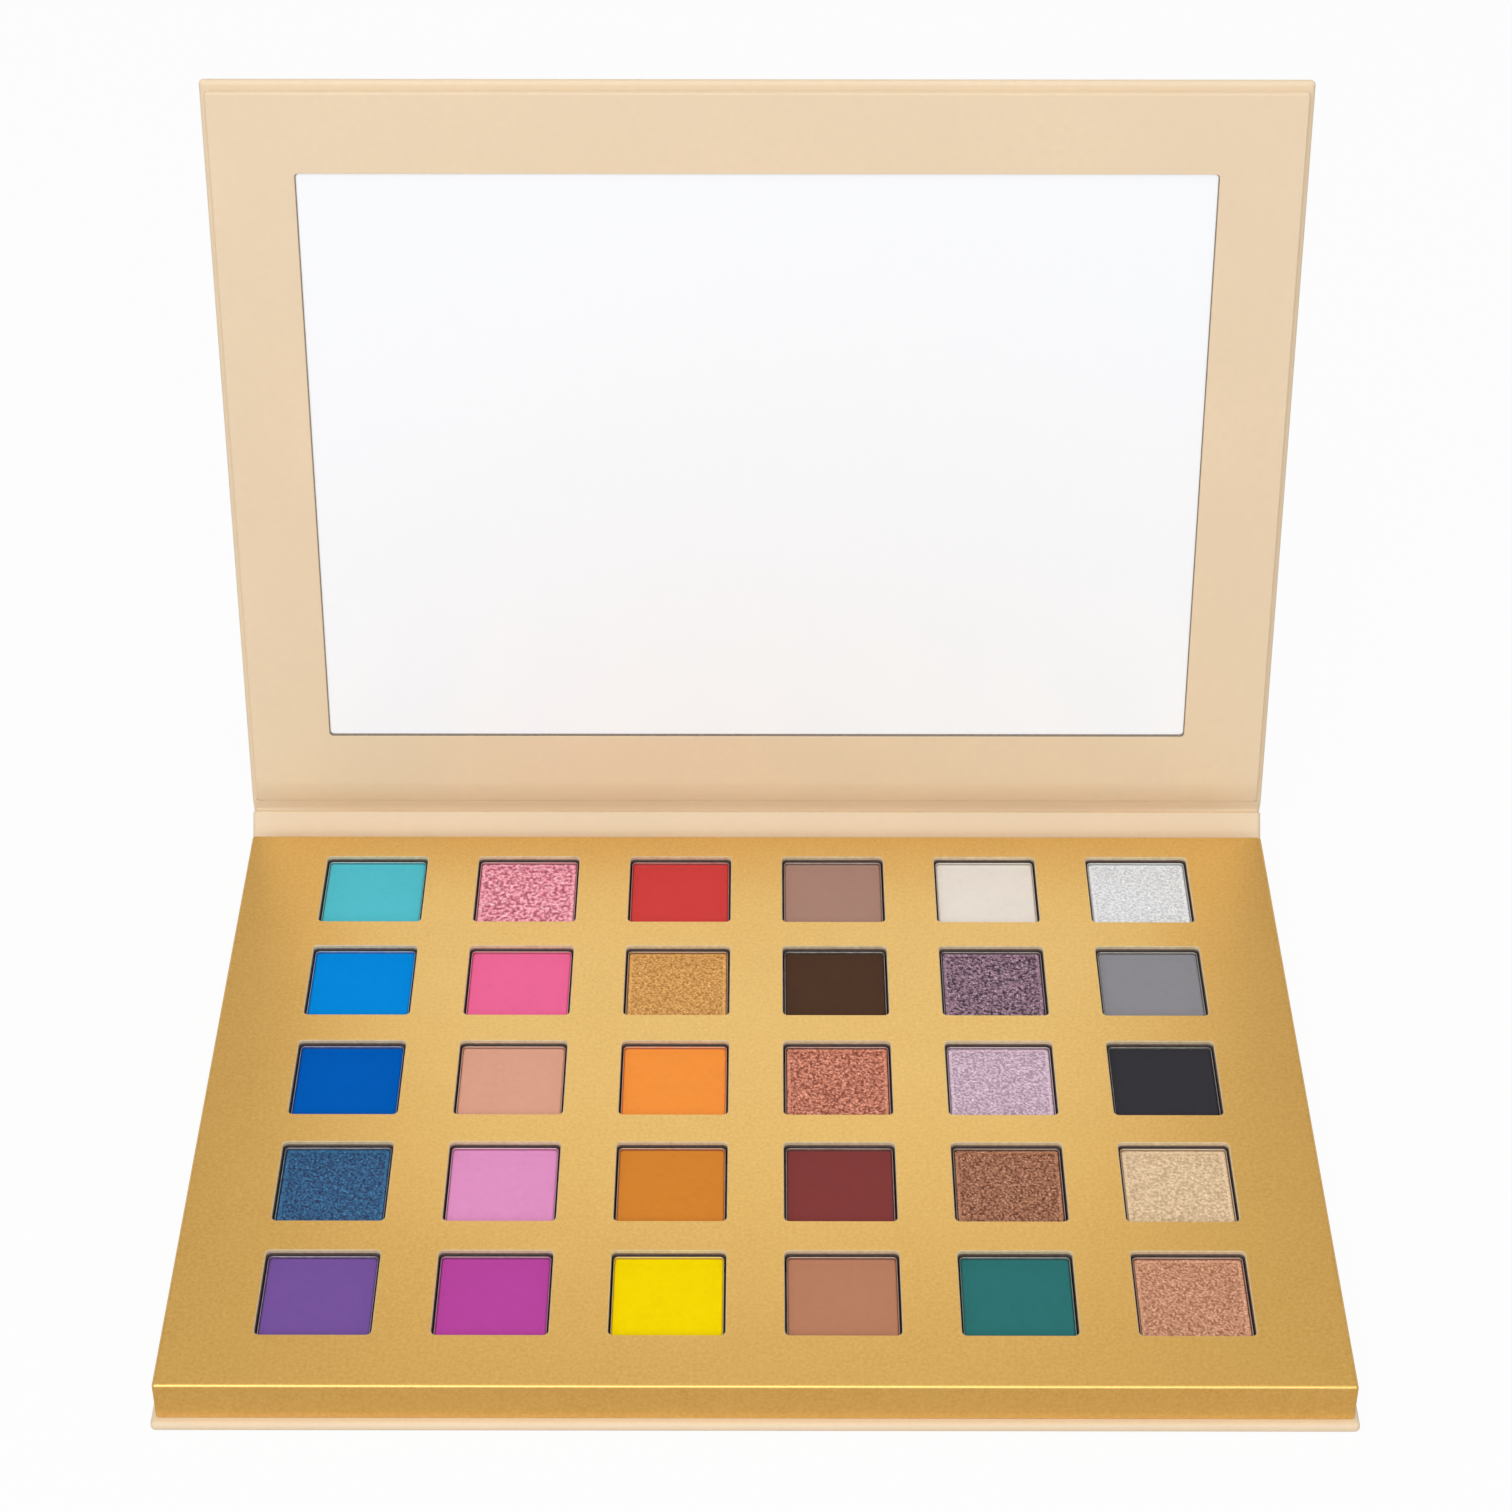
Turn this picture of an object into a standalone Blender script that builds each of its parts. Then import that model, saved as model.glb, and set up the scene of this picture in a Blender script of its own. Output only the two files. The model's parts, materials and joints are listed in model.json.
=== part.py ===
"""Book-style eyeshadow palette, standing open: a wrapped-board case with a mirror in its lid
and a card tray of pressed-powder pans.

Metres, +Z up. The origin is the centre of the base panel's underside. +X runs to the right and
+Y to the spine, so the front edge faces -Y.
"""

import math

import bmesh
import bpy
from mathutils import Vector

MM = 0.001

# Rest pose: how far the spine leans back from upright, and how far the lid has opened from shut
SPINE_LEAN = math.radians(40)
LID_OPENING = math.radians(99)

# Window grid of the tray, and the card left around it
WINDOW_SIDE = 22.8 * MM
WINDOW_ROUND = 1.0 * MM
COLUMN_GAP = 11.5 * MM
ROW_GAP = 8.4 * MM
SIDE_MARGIN = 17.9 * MM
FRONT_MARGIN = 13.5 * MM
BACK_MARGIN = 7.6 * MM

# Tray card, the board under the pans, and the pans
TRAY_CARD = 1.2 * MM
TRAY_EDGE_ROUND = 0.5 * MM
TRAY_FLOOR = 2.9 * MM
PAN_HEIGHT = 4.4 * MM
PAN_TO_WINDOW = 0.4 * MM
PAN_TO_POCKET = 0.3 * MM
PAN_ROUND = 0.9 * MM
PAN_TAPER = 0.2 * MM
PAN_RIM = 0.3 * MM
POWDER_DROP = 0.2 * MM
POWDER_BORDER = 0.9 * MM
POWDER_PRESS = 0.12 * MM
POWDER_SLOPE = 0.08 * MM

# Case panels: board, wrap paper, and how far the base shows round the tray
BOARD = 1.5 * MM
WRAP = 0.25 * MM
EDGE_ROUND = 1.0 * MM
TURN_IN = 14.0 * MM
FRONT_LIP = 1.7 * MM
SIDE_LIP = 1.0 * MM
REAR_LIP = 0.9 * MM

# Paper folds on both sides of the spine
FOLD_PAPER = 0.4 * MM
FOLD_GAP = 0.15 * MM
SPINE_LINER = 0.2 * MM
SPINE_LINER_INSET = 0.8 * MM

# Mirror, its frame, and the liner that wraps the frame and covers the mirror's rim
FRAME_BOARD = 1.3 * MM
LID_LINER = 0.4 * MM
LINER_ROUND = 0.3 * MM
LINER_SIDE_INSET = 1.3 * MM
LINER_FRONT_INSET = 2.0 * MM
LINER_REAR_INSET = 1.2 * MM
VIEW_SIDE_MARGIN = 19.0 * MM
VIEW_FRONT_MARGIN = 19.5 * MM
VIEW_REAR_MARGIN = 18.6 * MM
VIEW_ROUND = 0.8 * MM
MIRROR = 1.2 * MM
MIRROR_OVERLAP = 3.0 * MM
MIRROR_FIT = 0.3 * MM
TAPE_INSET = 4.0 * MM

# Disc magnets that hold the lid shut
MAGNET_RADIUS = 4.0 * MM
MAGNET_THICKNESS = 1.1 * MM
MAGNET_FIT = 0.3 * MM
MAGNET_SPREAD = 68.0 * MM

# Glue line between bonded pieces, and the gap between the shut lid and the tray
GLUE = 0.1 * MM
SHUT_GAP = 0.3 * MM

# Facets of rounded edges, rounded corners, discs and folds
EDGE_STEPS = 3
CORNER_STEPS = 2
DISC_STEPS = 24
FOLD_STEPS = 6
CUT_PAST = 2.0 * MM
WELD = 0.001 * MM
SMOOTH_UNDER = math.radians(35)

# Finishes, as sRGB colour, roughness and metallic
CREAM_PAPER = ((0.92, 0.82, 0.69), 0.6, 0.0)
GREY_BOARD = ((0.62, 0.58, 0.52), 0.9, 0.0)
GOLD_CARD = ((0.87, 0.70, 0.42), 0.38, 0.85)
BLACK_FOAM = ((0.09, 0.08, 0.08), 0.95, 0.0)
MIRROR_GLASS = ((0.93, 0.94, 0.94), 0.03, 1.0)
WHITE_TAPE = ((0.88, 0.88, 0.85), 0.7, 0.0)
NICKEL = ((0.72, 0.71, 0.69), 0.3, 1.0)
MATTE = (0.9, 0.0)
SHIMMER = (0.42, 0.55)

# Shades from the back row to the front, each row from left to right
SHADES = (
    (
        ("turquoise", (0.32, 0.73, 0.79), MATTE),
        ("candy_pink", (0.87, 0.56, 0.62), SHIMMER),
        ("red", (0.79, 0.25, 0.24), MATTE),
        ("taupe", (0.64, 0.50, 0.45), MATTE),
        ("ivory", (0.88, 0.85, 0.81), MATTE),
        ("silver", (0.85, 0.85, 0.85), SHIMMER),
    ),
    (
        ("azure", (0.01, 0.53, 0.85), MATTE),
        ("hot_pink", (0.91, 0.40, 0.58), MATTE),
        ("gold", (0.80, 0.60, 0.35), SHIMMER),
        ("espresso", (0.30, 0.21, 0.16), MATTE),
        ("plum", (0.50, 0.39, 0.45), SHIMMER),
        ("grey", (0.54, 0.54, 0.56), MATTE),
    ),
    (
        ("royal_blue", (0.00, 0.35, 0.71), MATTE),
        ("peach", (0.85, 0.62, 0.53), MATTE),
        ("orange", (0.95, 0.57, 0.24), MATTE),
        ("copper", (0.73, 0.47, 0.39), SHIMMER),
        ("lilac", (0.78, 0.68, 0.74), SHIMMER),
        ("charcoal", (0.21, 0.21, 0.23), MATTE),
    ),
    (
        ("navy", (0.22, 0.36, 0.51), SHIMMER),
        ("orchid", (0.87, 0.57, 0.76), MATTE),
        ("ochre", (0.82, 0.51, 0.19), MATTE),
        ("burgundy", (0.50, 0.24, 0.23), MATTE),
        ("bronze", (0.61, 0.41, 0.32), SHIMMER),
        ("champagne", (0.85, 0.74, 0.61), SHIMMER),
    ),
    (
        ("violet", (0.46, 0.33, 0.61), MATTE),
        ("magenta", (0.71, 0.27, 0.62), MATTE),
        ("yellow", (0.95, 0.84, 0.01), MATTE),
        ("tan", (0.72, 0.49, 0.38), MATTE),
        ("teal", (0.18, 0.44, 0.44), MATTE),
        ("rose_gold", (0.76, 0.55, 0.44), SHIMMER),
    ),
)

# Tray and case sizes that follow from the above
ROWS = len(SHADES)
COLUMNS = len(SHADES[0])
GRID_WIDTH = COLUMNS * WINDOW_SIDE + (COLUMNS - 1) * COLUMN_GAP
GRID_DEPTH = ROWS * WINDOW_SIDE + (ROWS - 1) * ROW_GAP
TRAY_WIDTH = GRID_WIDTH + 2 * SIDE_MARGIN
TRAY_DEPTH = GRID_DEPTH + FRONT_MARGIN + BACK_MARGIN
CASE_WIDTH = TRAY_WIDTH + 2 * SIDE_LIP
CASE_DEPTH = TRAY_DEPTH + FRONT_LIP + REAR_LIP
PANEL = BOARD + 2 * (WRAP + GLUE)
PANEL_ROUND = min(EDGE_ROUND, PANEL / 2 - GLUE)
PAN_SIDE = WINDOW_SIDE - 2 * PAN_TO_WINDOW
POCKET_SIDE = PAN_SIDE + 2 * PAN_TO_POCKET

# Heights in the tray
FLOOR_LOW = PANEL + GLUE
FLOOR_TOP = FLOOR_LOW + TRAY_FLOOR
PAN_LOW = FLOOR_TOP + GLUE
PAN_TOP = PAN_LOW + PAN_HEIGHT
TRAY_TOP = PAN_TOP + GLUE + TRAY_CARD
TRAY_FRONT = FRONT_LIP - CASE_DEPTH / 2
TRAY_MIDDLE = TRAY_FRONT + TRAY_DEPTH / 2
GRID_FRONT = TRAY_FRONT + FRONT_MARGIN
MAGNET_Y = TRAY_FRONT + FRONT_MARGIN / 2

# Heights above the lid's middle plane, inner face up
FRAME_LOW = PANEL / 2 + GLUE
FRAME_TOP = FRAME_LOW + FRAME_BOARD
LINER_TOP = FRAME_TOP + GLUE + LID_LINER

# Hinge axes run along X through the panels' middle planes
FOLD_HALF = PANEL / 2 + FOLD_GAP
HINGE_Y = CASE_DEPTH / 2 + FOLD_HALF
HINGE_Z = PANEL / 2
SPINE_SPAN = TRAY_TOP + SHUT_GAP + LINER_TOP - HINGE_Z
SPINE_TURN = math.pi / 2 - SPINE_LEAN
LID_TURN = math.pi - LID_OPENING - SPINE_TURN


def clear_scene():
    for item in list(bpy.data.objects):
        bpy.data.objects.remove(item, do_unlink=True)


def make_collection(name):
    group = bpy.data.collections.new(name)
    bpy.context.scene.collection.children.link(group)
    return group


def linear(channel):
    if channel <= 0.04045:
        return channel / 12.92
    return ((channel + 0.055) / 1.055) ** 2.4


def make_material(name, finish):
    colour, roughness, metallic = finish
    material = bpy.data.materials.new(name)
    material.use_nodes = True
    shader = material.node_tree.nodes["Principled BSDF"]
    shader.inputs["Base Color"].default_value = [linear(channel) for channel in colour] + [1.0]
    shader.inputs["Roughness"].default_value = roughness
    shader.inputs["Metallic"].default_value = metallic
    return material


def make_part(name, mesh, finish, parent=None, location=(0, 0, 0), smooth=False):
    """A finished piece with its own material; a shared mesh keeps the material on the object."""
    part = bpy.data.objects.new(name, mesh)
    parts.objects.link(part)
    if not mesh.materials:
        mesh.materials.append(None)
    part.material_slots[0].link = "OBJECT"
    part.material_slots[0].material = make_material(name, finish)
    part.parent = parent
    part.location = location
    if smooth:
        mesh.shade_smooth()
        mesh.set_sharp_from_angle(angle=SMOOTH_UNDER)
    return part


def make_cutter(name, mesh, parent=None, location=(0, 0, 0)):
    cutter = bpy.data.objects.new(name, mesh)
    cutters.objects.link(cutter)
    cutter.parent = parent
    cutter.location = location
    cutter.hide_render = True
    cutter.display_type = "WIRE"
    return cutter


def cut(part, cutter):
    modifier = part.modifiers.new(cutter.name, "BOOLEAN")
    modifier.operation = "DIFFERENCE"
    modifier.solver = "EXACT"
    modifier.object = cutter


def make_pivot(name, location, turn, parent=None):
    pivot = bpy.data.objects.new(name, None)
    parts.objects.link(pivot)
    pivot.parent = parent
    pivot.location = location
    pivot.rotation_euler.x = turn
    return pivot


def finish_mesh(name, shape):
    bmesh.ops.recalc_face_normals(shape, faces=shape.faces)
    mesh = bpy.data.meshes.new(name)
    shape.to_mesh(mesh)
    shape.free()
    return mesh


def slab_mesh(name, width, y_range, z_range, radius=0.0, square_ends=()):
    """A board centred on X with all edges rounded but those at the y planes in square_ends."""
    y_low, y_high = y_range
    z_low, z_high = z_range
    size = Vector((width, y_high - y_low, z_high - z_low))
    middle = Vector((0, (y_low + y_high) / 2, (z_low + z_high) / 2))
    shape = bmesh.new()
    bmesh.ops.create_cube(shape, size=1.0)
    bmesh.ops.scale(shape, vec=size, verts=shape.verts)
    bmesh.ops.translate(shape, vec=middle, verts=shape.verts)
    if radius > 0:
        rounded = []
        for edge in shape.edges:
            ends = [vert.co.y for vert in edge.verts]
            if not any(max(abs(y - end) for y in ends) < WELD for end in square_ends):
                rounded.append(edge)
        bmesh.ops.bevel(
            shape, geom=rounded, offset=radius, segments=EDGE_STEPS, profile=0.5, affect="EDGES"
        )
    return finish_mesh(name, shape)


def rounded_rectangle(width, depth, radius, centre=(0, 0)):
    points = []
    for quarter, (side, end) in enumerate(((1, 1), (-1, 1), (-1, -1), (1, -1))):
        x = centre[0] + side * (width / 2 - radius)
        y = centre[1] + end * (depth / 2 - radius)
        for step in range(CORNER_STEPS + 1):
            angle = math.pi / 2 * (quarter + step / CORNER_STEPS)
            points.append((x + radius * math.cos(angle), y + radius * math.sin(angle)))
    return points


def circle(radius, centre):
    angles = [2 * math.pi * step / DISC_STEPS for step in range(DISC_STEPS)]
    return [(centre[0] + radius * math.cos(a), centre[1] + radius * math.sin(a)) for a in angles]


def plate_mesh(name, outlines, z_low, z_high):
    """A flat sheet with the first outline as its edge and any others inside it as holes."""
    curve = bpy.data.curves.new(name, "CURVE")
    curve.dimensions = "2D"
    curve.fill_mode = "BOTH"
    curve.extrude = (z_high - z_low) / 2
    for outline in outlines:
        spline = curve.splines.new("POLY")
        spline.points.add(len(outline) - 1)
        spline.use_cyclic_u = True
        for point, (x, y) in zip(spline.points, outline):
            point.co = (x, y, 0, 1)
    guide = bpy.data.objects.new(name, curve)
    parts.objects.link(guide)
    graph = bpy.context.evaluated_depsgraph_get()
    filled = bpy.data.meshes.new_from_object(guide.evaluated_get(graph))
    bpy.data.objects.remove(guide)
    shape = bmesh.new()
    shape.from_mesh(filled)
    bpy.data.meshes.remove(filled)
    bmesh.ops.remove_doubles(shape, verts=shape.verts, dist=WELD)
    bmesh.ops.translate(shape, vec=(0, 0, (z_low + z_high) / 2), verts=shape.verts)
    return finish_mesh(name, shape)


def disc_mesh(name, radius, thickness):
    """A disc that stands on its own origin."""
    shape = bmesh.new()
    bmesh.ops.create_cone(
        shape, cap_ends=True, segments=DISC_STEPS, radius1=radius, radius2=radius, depth=thickness
    )
    bmesh.ops.translate(shape, vec=(0, 0, thickness / 2), verts=shape.verts)
    return finish_mesh(name, shape)


def loft_mesh(name, sections):
    """A square pan from its underside up: each section is (side, corner radius, height)."""
    shape = bmesh.new()
    loops = []
    for side, radius, height in sections:
        outline = rounded_rectangle(side, side, radius)
        verts = [shape.verts.new((x, y, height)) for x, y in outline]
        loops.append([shape.edges.new((verts[i - 1], verts[i])) for i in range(len(verts))])
    for lower, upper in zip(loops, loops[1:]):
        bmesh.ops.bridge_loops(shape, edges=lower + upper)
    for end in (loops[0], loops[-1]):
        bmesh.ops.edgeloop_fill(shape, edges=end)
    return finish_mesh(name, shape)


def window_centres():
    """Row, column and centre of each window, from the back row to the front."""
    for row in range(ROWS):
        for column in range(COLUMNS):
            x = (column - (COLUMNS - 1) / 2) * (WINDOW_SIDE + COLUMN_GAP)
            y = GRID_FRONT + WINDOW_SIDE / 2 + (ROWS - 1 - row) * (WINDOW_SIDE + ROW_GAP)
            yield row, column, (x, y)


def magnet_places():
    return (("left", -MAGNET_SPREAD), ("right", MAGNET_SPREAD))


def wrapped_panel(name, parent, y_range, fold_ends):
    """A board inside a paper wrap that is turned in round its edges, but for those at a fold."""
    y_low, y_high = y_range
    half = PANEL / 2
    open_low = CUT_PAST if y_low in fold_ends else 0.0
    open_high = CUT_PAST if y_high in fold_ends else 0.0

    def inset(distance):
        low = y_low if open_low else y_low + distance
        high = y_high if open_high else y_high - distance
        return low, high

    wrap_mesh = slab_mesh(f"{name}_wrap", CASE_WIDTH, y_range, (-half, half), PANEL_ROUND, fold_ends)
    wrap = make_part(f"{name}_wrap", wrap_mesh, CREAM_PAPER, parent, smooth=True)

    low, high = inset(WRAP)
    core_range = (low - open_low, high + open_high)
    core_ends = [end for end, opened in zip(core_range, (open_low, open_high)) if opened]
    core_mesh = slab_mesh(
        f"{name}_wrap_core", CASE_WIDTH - 2 * WRAP, core_range, (WRAP - half, half - WRAP),
        PANEL_ROUND - WRAP, core_ends,
    )
    cut(wrap, make_cutter(f"{name}_wrap_core", core_mesh, parent))

    low, high = inset(TURN_IN)
    window_mesh = slab_mesh(
        f"{name}_wrap_window", CASE_WIDTH - 2 * TURN_IN, (low - open_low, high + open_high),
        (0, half + CUT_PAST),
    )
    cut(wrap, make_cutter(f"{name}_wrap_window", window_mesh, parent))

    board_edge = WRAP + GLUE
    board_mesh = slab_mesh(
        f"{name}_board", CASE_WIDTH - 2 * board_edge, inset(board_edge), (-BOARD / 2, BOARD / 2),
        PANEL_ROUND - board_edge, fold_ends,
    )
    make_part(f"{name}_board", board_mesh, GREY_BOARD, parent)


def fold_paper(name, parent, location, turn):
    """A paper joint, flush with the outer faces of two panels that meet at this angle on its axis."""
    reach = FOLD_HALF - GLUE
    depth = (FOLD_PAPER - PANEL) / 2
    heading = Vector((math.cos(turn), math.sin(turn)))
    start = Vector((-reach, depth))
    end = reach * heading + depth * Vector((-heading.y, heading.x))
    pull = (end - start).length / 3
    control = (start, start + Vector((pull, 0)), end - pull * heading, end)
    shape = bmesh.new()
    bmesh.ops.create_grid(shape, x_segments=1, y_segments=FOLD_STEPS, size=1.0)
    for vert in shape.verts:
        t = (vert.co.y + 1) / 2
        weights = ((1 - t) ** 3, 3 * t * (1 - t) ** 2, 3 * t * t * (1 - t), t ** 3)
        y, z = sum((w * point for w, point in zip(weights, control)), Vector((0, 0)))
        vert.co = (vert.co.x * (CASE_WIDTH / 2 - WRAP), y, z)
    mesh = finish_mesh(name, shape)
    strip = make_part(name, mesh, CREAM_PAPER, parent, location, smooth=True)
    thicken = strip.modifiers.new("paper", "SOLIDIFY")
    thicken.thickness = FOLD_PAPER
    thicken.offset = 0.0


def build_base(hinge):
    wrapped_panel("base", hinge, (-FOLD_HALF - CASE_DEPTH, -FOLD_HALF), [-FOLD_HALF])


def build_tray():
    inner_width = TRAY_WIDTH - 2 * TRAY_CARD
    inner_depth = TRAY_DEPTH - 2 * TRAY_CARD
    back = TRAY_FRONT + TRAY_DEPTH
    cover_mesh = slab_mesh(
        "tray_cover", TRAY_WIDTH, (TRAY_FRONT, back), (FLOOR_LOW, TRAY_TOP), TRAY_EDGE_ROUND
    )
    cover = make_part("tray_cover", cover_mesh, GOLD_CARD)
    hollow_mesh = slab_mesh(
        "tray_hollow", inner_width, (TRAY_FRONT + TRAY_CARD, back - TRAY_CARD),
        (FLOOR_LOW - CUT_PAST, TRAY_TOP - TRAY_CARD),
    )
    cut(cover, make_cutter("tray_hollow", hollow_mesh))
    windows = [
        rounded_rectangle(WINDOW_SIDE, WINDOW_SIDE, WINDOW_ROUND, centre)
        for _, _, centre in window_centres()
    ]
    windows_mesh = plate_mesh("tray_windows", windows, PAN_TOP, TRAY_TOP + CUT_PAST)
    cut(cover, make_cutter("tray_windows", windows_mesh))

    fit_width = inner_width - 2 * GLUE
    fit_depth = inner_depth - 2 * GLUE
    floor_range = (TRAY_MIDDLE - fit_depth / 2, TRAY_MIDDLE + fit_depth / 2)
    floor_mesh = slab_mesh("tray_floor", fit_width, floor_range, (FLOOR_LOW, FLOOR_TOP))
    make_part("tray_floor", floor_mesh, GREY_BOARD)

    grid_mesh = slab_mesh("pan_grid", fit_width, floor_range, (PAN_LOW, PAN_TOP))
    grid = make_part("pan_grid", grid_mesh, BLACK_FOAM)
    pockets = [
        rounded_rectangle(POCKET_SIDE, POCKET_SIDE, PAN_ROUND, centre)
        for _, _, centre in window_centres()
    ]
    pockets_mesh = plate_mesh("pan_pockets", pockets, PAN_LOW - CUT_PAST, PAN_TOP + CUT_PAST)
    cut(grid, make_cutter("pan_pockets", pockets_mesh))

    magnet_low = PAN_TOP - MAGNET_THICKNESS
    magnet_mesh = disc_mesh("tray_magnet", MAGNET_RADIUS, MAGNET_THICKNESS)
    pocket_mesh = disc_mesh("magnet_pocket", MAGNET_RADIUS + MAGNET_FIT, MAGNET_THICKNESS + CUT_PAST)
    for side, x in magnet_places():
        make_part(
            f"tray_magnet_{side}", magnet_mesh, NICKEL, None, (x, MAGNET_Y, magnet_low), smooth=True
        )
        seat = (x, MAGNET_Y, magnet_low - GLUE)
        cut(grid, make_cutter(f"tray_magnet_{side}_pocket", pocket_mesh, None, seat))


def build_pans():
    rim_side = PAN_SIDE - 2 * PAN_RIM
    powder_side = rim_side - 2 * POWDER_SLOPE
    field_side = powder_side - 2 * POWDER_BORDER
    powder = PAN_HEIGHT - POWDER_DROP
    inner_round = PAN_ROUND / 2
    mesh = loft_mesh("pan", (
        (PAN_SIDE - 2 * PAN_TAPER, PAN_ROUND, 0),
        (PAN_SIDE, PAN_ROUND, PAN_HEIGHT),
        (rim_side, inner_round, PAN_HEIGHT),
        (powder_side, inner_round, powder),
        (field_side, inner_round, powder),
        (field_side - 2 * POWDER_SLOPE, inner_round, powder - POWDER_PRESS),
    ))
    for row, column, (x, y) in window_centres():
        shade, colour, finish = SHADES[row][column]
        make_part(f"pan_{shade}", mesh, (colour, *finish), None, (x, y, PAN_LOW))


def build_spine(pivot):
    ends = (FOLD_HALF, SPINE_SPAN - FOLD_HALF)
    wrapped_panel("spine", pivot, ends, ends)
    liner_low = PANEL / 2 + GLUE
    liner_mesh = slab_mesh(
        "spine_liner", CASE_WIDTH - 2 * SPINE_LINER_INSET, ends, (liner_low, liner_low + SPINE_LINER)
    )
    make_part("spine_liner", liner_mesh, CREAM_PAPER, pivot)


def build_lid(pivot):
    rear = FOLD_HALF
    front = FOLD_HALF + CASE_DEPTH
    wrapped_panel("lid", pivot, (rear, front), [rear])

    liner_width = CASE_WIDTH - 2 * LINER_SIDE_INSET
    liner_rear = rear + LINER_REAR_INSET
    liner_front = front - LINER_FRONT_INSET
    liner_mesh = slab_mesh(
        "lid_liner", liner_width, (liner_rear, liner_front), (FRAME_LOW, LINER_TOP), LINER_ROUND
    )
    liner = make_part("lid_liner", liner_mesh, CREAM_PAPER, pivot)
    hollow_mesh = slab_mesh(
        "liner_hollow", liner_width - 2 * LID_LINER, (liner_rear + LID_LINER, liner_front - LID_LINER),
        (FRAME_LOW - CUT_PAST, LINER_TOP - LID_LINER),
    )
    cut(liner, make_cutter("liner_hollow", hollow_mesh, pivot))
    view_width = CASE_WIDTH - 2 * VIEW_SIDE_MARGIN
    view_depth = CASE_DEPTH - VIEW_FRONT_MARGIN - VIEW_REAR_MARGIN
    view_centre = (0, rear + VIEW_REAR_MARGIN + view_depth / 2)
    view = rounded_rectangle(view_width, view_depth, VIEW_ROUND, view_centre)
    view_mesh = plate_mesh("liner_view", [view], FRAME_TOP, LINER_TOP + CUT_PAST)
    cut(liner, make_cutter("liner_view", view_mesh, pivot))

    glass_width = view_width + 2 * MIRROR_OVERLAP
    glass_depth = view_depth + 2 * MIRROR_OVERLAP
    glass_low = FRAME_TOP - MIRROR
    glass = rounded_rectangle(glass_width, glass_depth, VIEW_ROUND, view_centre)
    make_part("mirror", plate_mesh("mirror", [glass], glass_low, FRAME_TOP), MIRROR_GLASS, pivot)
    tape = rounded_rectangle(
        glass_width - 2 * TAPE_INSET, glass_depth - 2 * TAPE_INSET, VIEW_ROUND, view_centre
    )
    tape_mesh = plate_mesh("mirror_tape", [tape], BOARD / 2 + GLUE, glass_low - GLUE)
    make_part("mirror_tape", tape_mesh, WHITE_TAPE, pivot)

    opening = rounded_rectangle(
        glass_width + 2 * MIRROR_FIT, glass_depth + 2 * MIRROR_FIT, VIEW_ROUND, view_centre
    )
    frame_inset = LID_LINER + GLUE
    frame_rear = liner_rear + frame_inset
    frame_front = liner_front - frame_inset
    frame_edge = rounded_rectangle(
        liner_width - 2 * frame_inset, frame_front - frame_rear, VIEW_ROUND,
        (0, (frame_rear + frame_front) / 2),
    )
    magnet_y = HINGE_Y - MAGNET_Y
    magnet_mesh = disc_mesh("lid_magnet", MAGNET_RADIUS, MAGNET_THICKNESS)
    outlines = [frame_edge, opening]
    for side, x in magnet_places():
        outlines.append(circle(MAGNET_RADIUS + MAGNET_FIT, (x, magnet_y)))
        make_part(
            f"lid_magnet_{side}", magnet_mesh, NICKEL, pivot, (x, magnet_y, FRAME_LOW), smooth=True
        )
    frame_mesh = plate_mesh("mirror_frame", outlines, FRAME_LOW, FRAME_TOP)
    make_part("mirror_frame", frame_mesh, GREY_BOARD, pivot)


clear_scene()
parts = make_collection("eyeshadow_palette")
cutters = make_collection("cutters")

base_hinge = make_pivot("base_hinge", (0, HINGE_Y, HINGE_Z), 0)
spine_pivot = make_pivot("spine_pivot", (0, 0, 0), SPINE_TURN, base_hinge)
lid_pivot = make_pivot("lid_pivot", (0, SPINE_SPAN, 0), LID_TURN, spine_pivot)

build_base(base_hinge)
build_tray()
build_pans()
build_spine(spine_pivot)
build_lid(lid_pivot)
fold_paper("base_fold_paper", base_hinge, (0, 0, 0), SPINE_TURN)
fold_paper("lid_fold_paper", spine_pivot, (0, SPINE_SPAN, 0), LID_TURN)
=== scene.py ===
import json
import math

import bpy
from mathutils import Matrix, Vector


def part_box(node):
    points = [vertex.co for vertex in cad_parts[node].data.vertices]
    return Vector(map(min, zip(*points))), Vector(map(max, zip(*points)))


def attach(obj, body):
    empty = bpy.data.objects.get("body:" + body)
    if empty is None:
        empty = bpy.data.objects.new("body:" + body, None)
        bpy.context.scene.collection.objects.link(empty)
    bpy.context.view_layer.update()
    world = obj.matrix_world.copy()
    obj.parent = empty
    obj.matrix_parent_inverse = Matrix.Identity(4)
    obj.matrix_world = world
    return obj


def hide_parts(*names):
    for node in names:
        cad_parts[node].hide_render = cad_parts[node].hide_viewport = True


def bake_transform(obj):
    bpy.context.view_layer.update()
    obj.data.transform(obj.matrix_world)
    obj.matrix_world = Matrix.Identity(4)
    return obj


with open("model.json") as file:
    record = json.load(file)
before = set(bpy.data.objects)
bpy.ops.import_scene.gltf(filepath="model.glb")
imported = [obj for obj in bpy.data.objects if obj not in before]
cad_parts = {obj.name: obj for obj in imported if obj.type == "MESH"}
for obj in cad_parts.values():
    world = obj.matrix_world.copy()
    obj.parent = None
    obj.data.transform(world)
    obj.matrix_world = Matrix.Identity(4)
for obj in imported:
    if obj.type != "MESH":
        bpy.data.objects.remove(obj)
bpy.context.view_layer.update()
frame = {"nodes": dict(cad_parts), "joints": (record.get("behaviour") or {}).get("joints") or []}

mm = 0.001
near = 0.004  # two places this close, in mm, count as the same


# selecting and editing, always from an empty selection

def clearSelection():
    if bpy.context.mode != "OBJECT":
        bpy.ops.object.mode_set(mode="OBJECT")
    bpy.ops.object.select_all(action="DESELECT")


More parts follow.
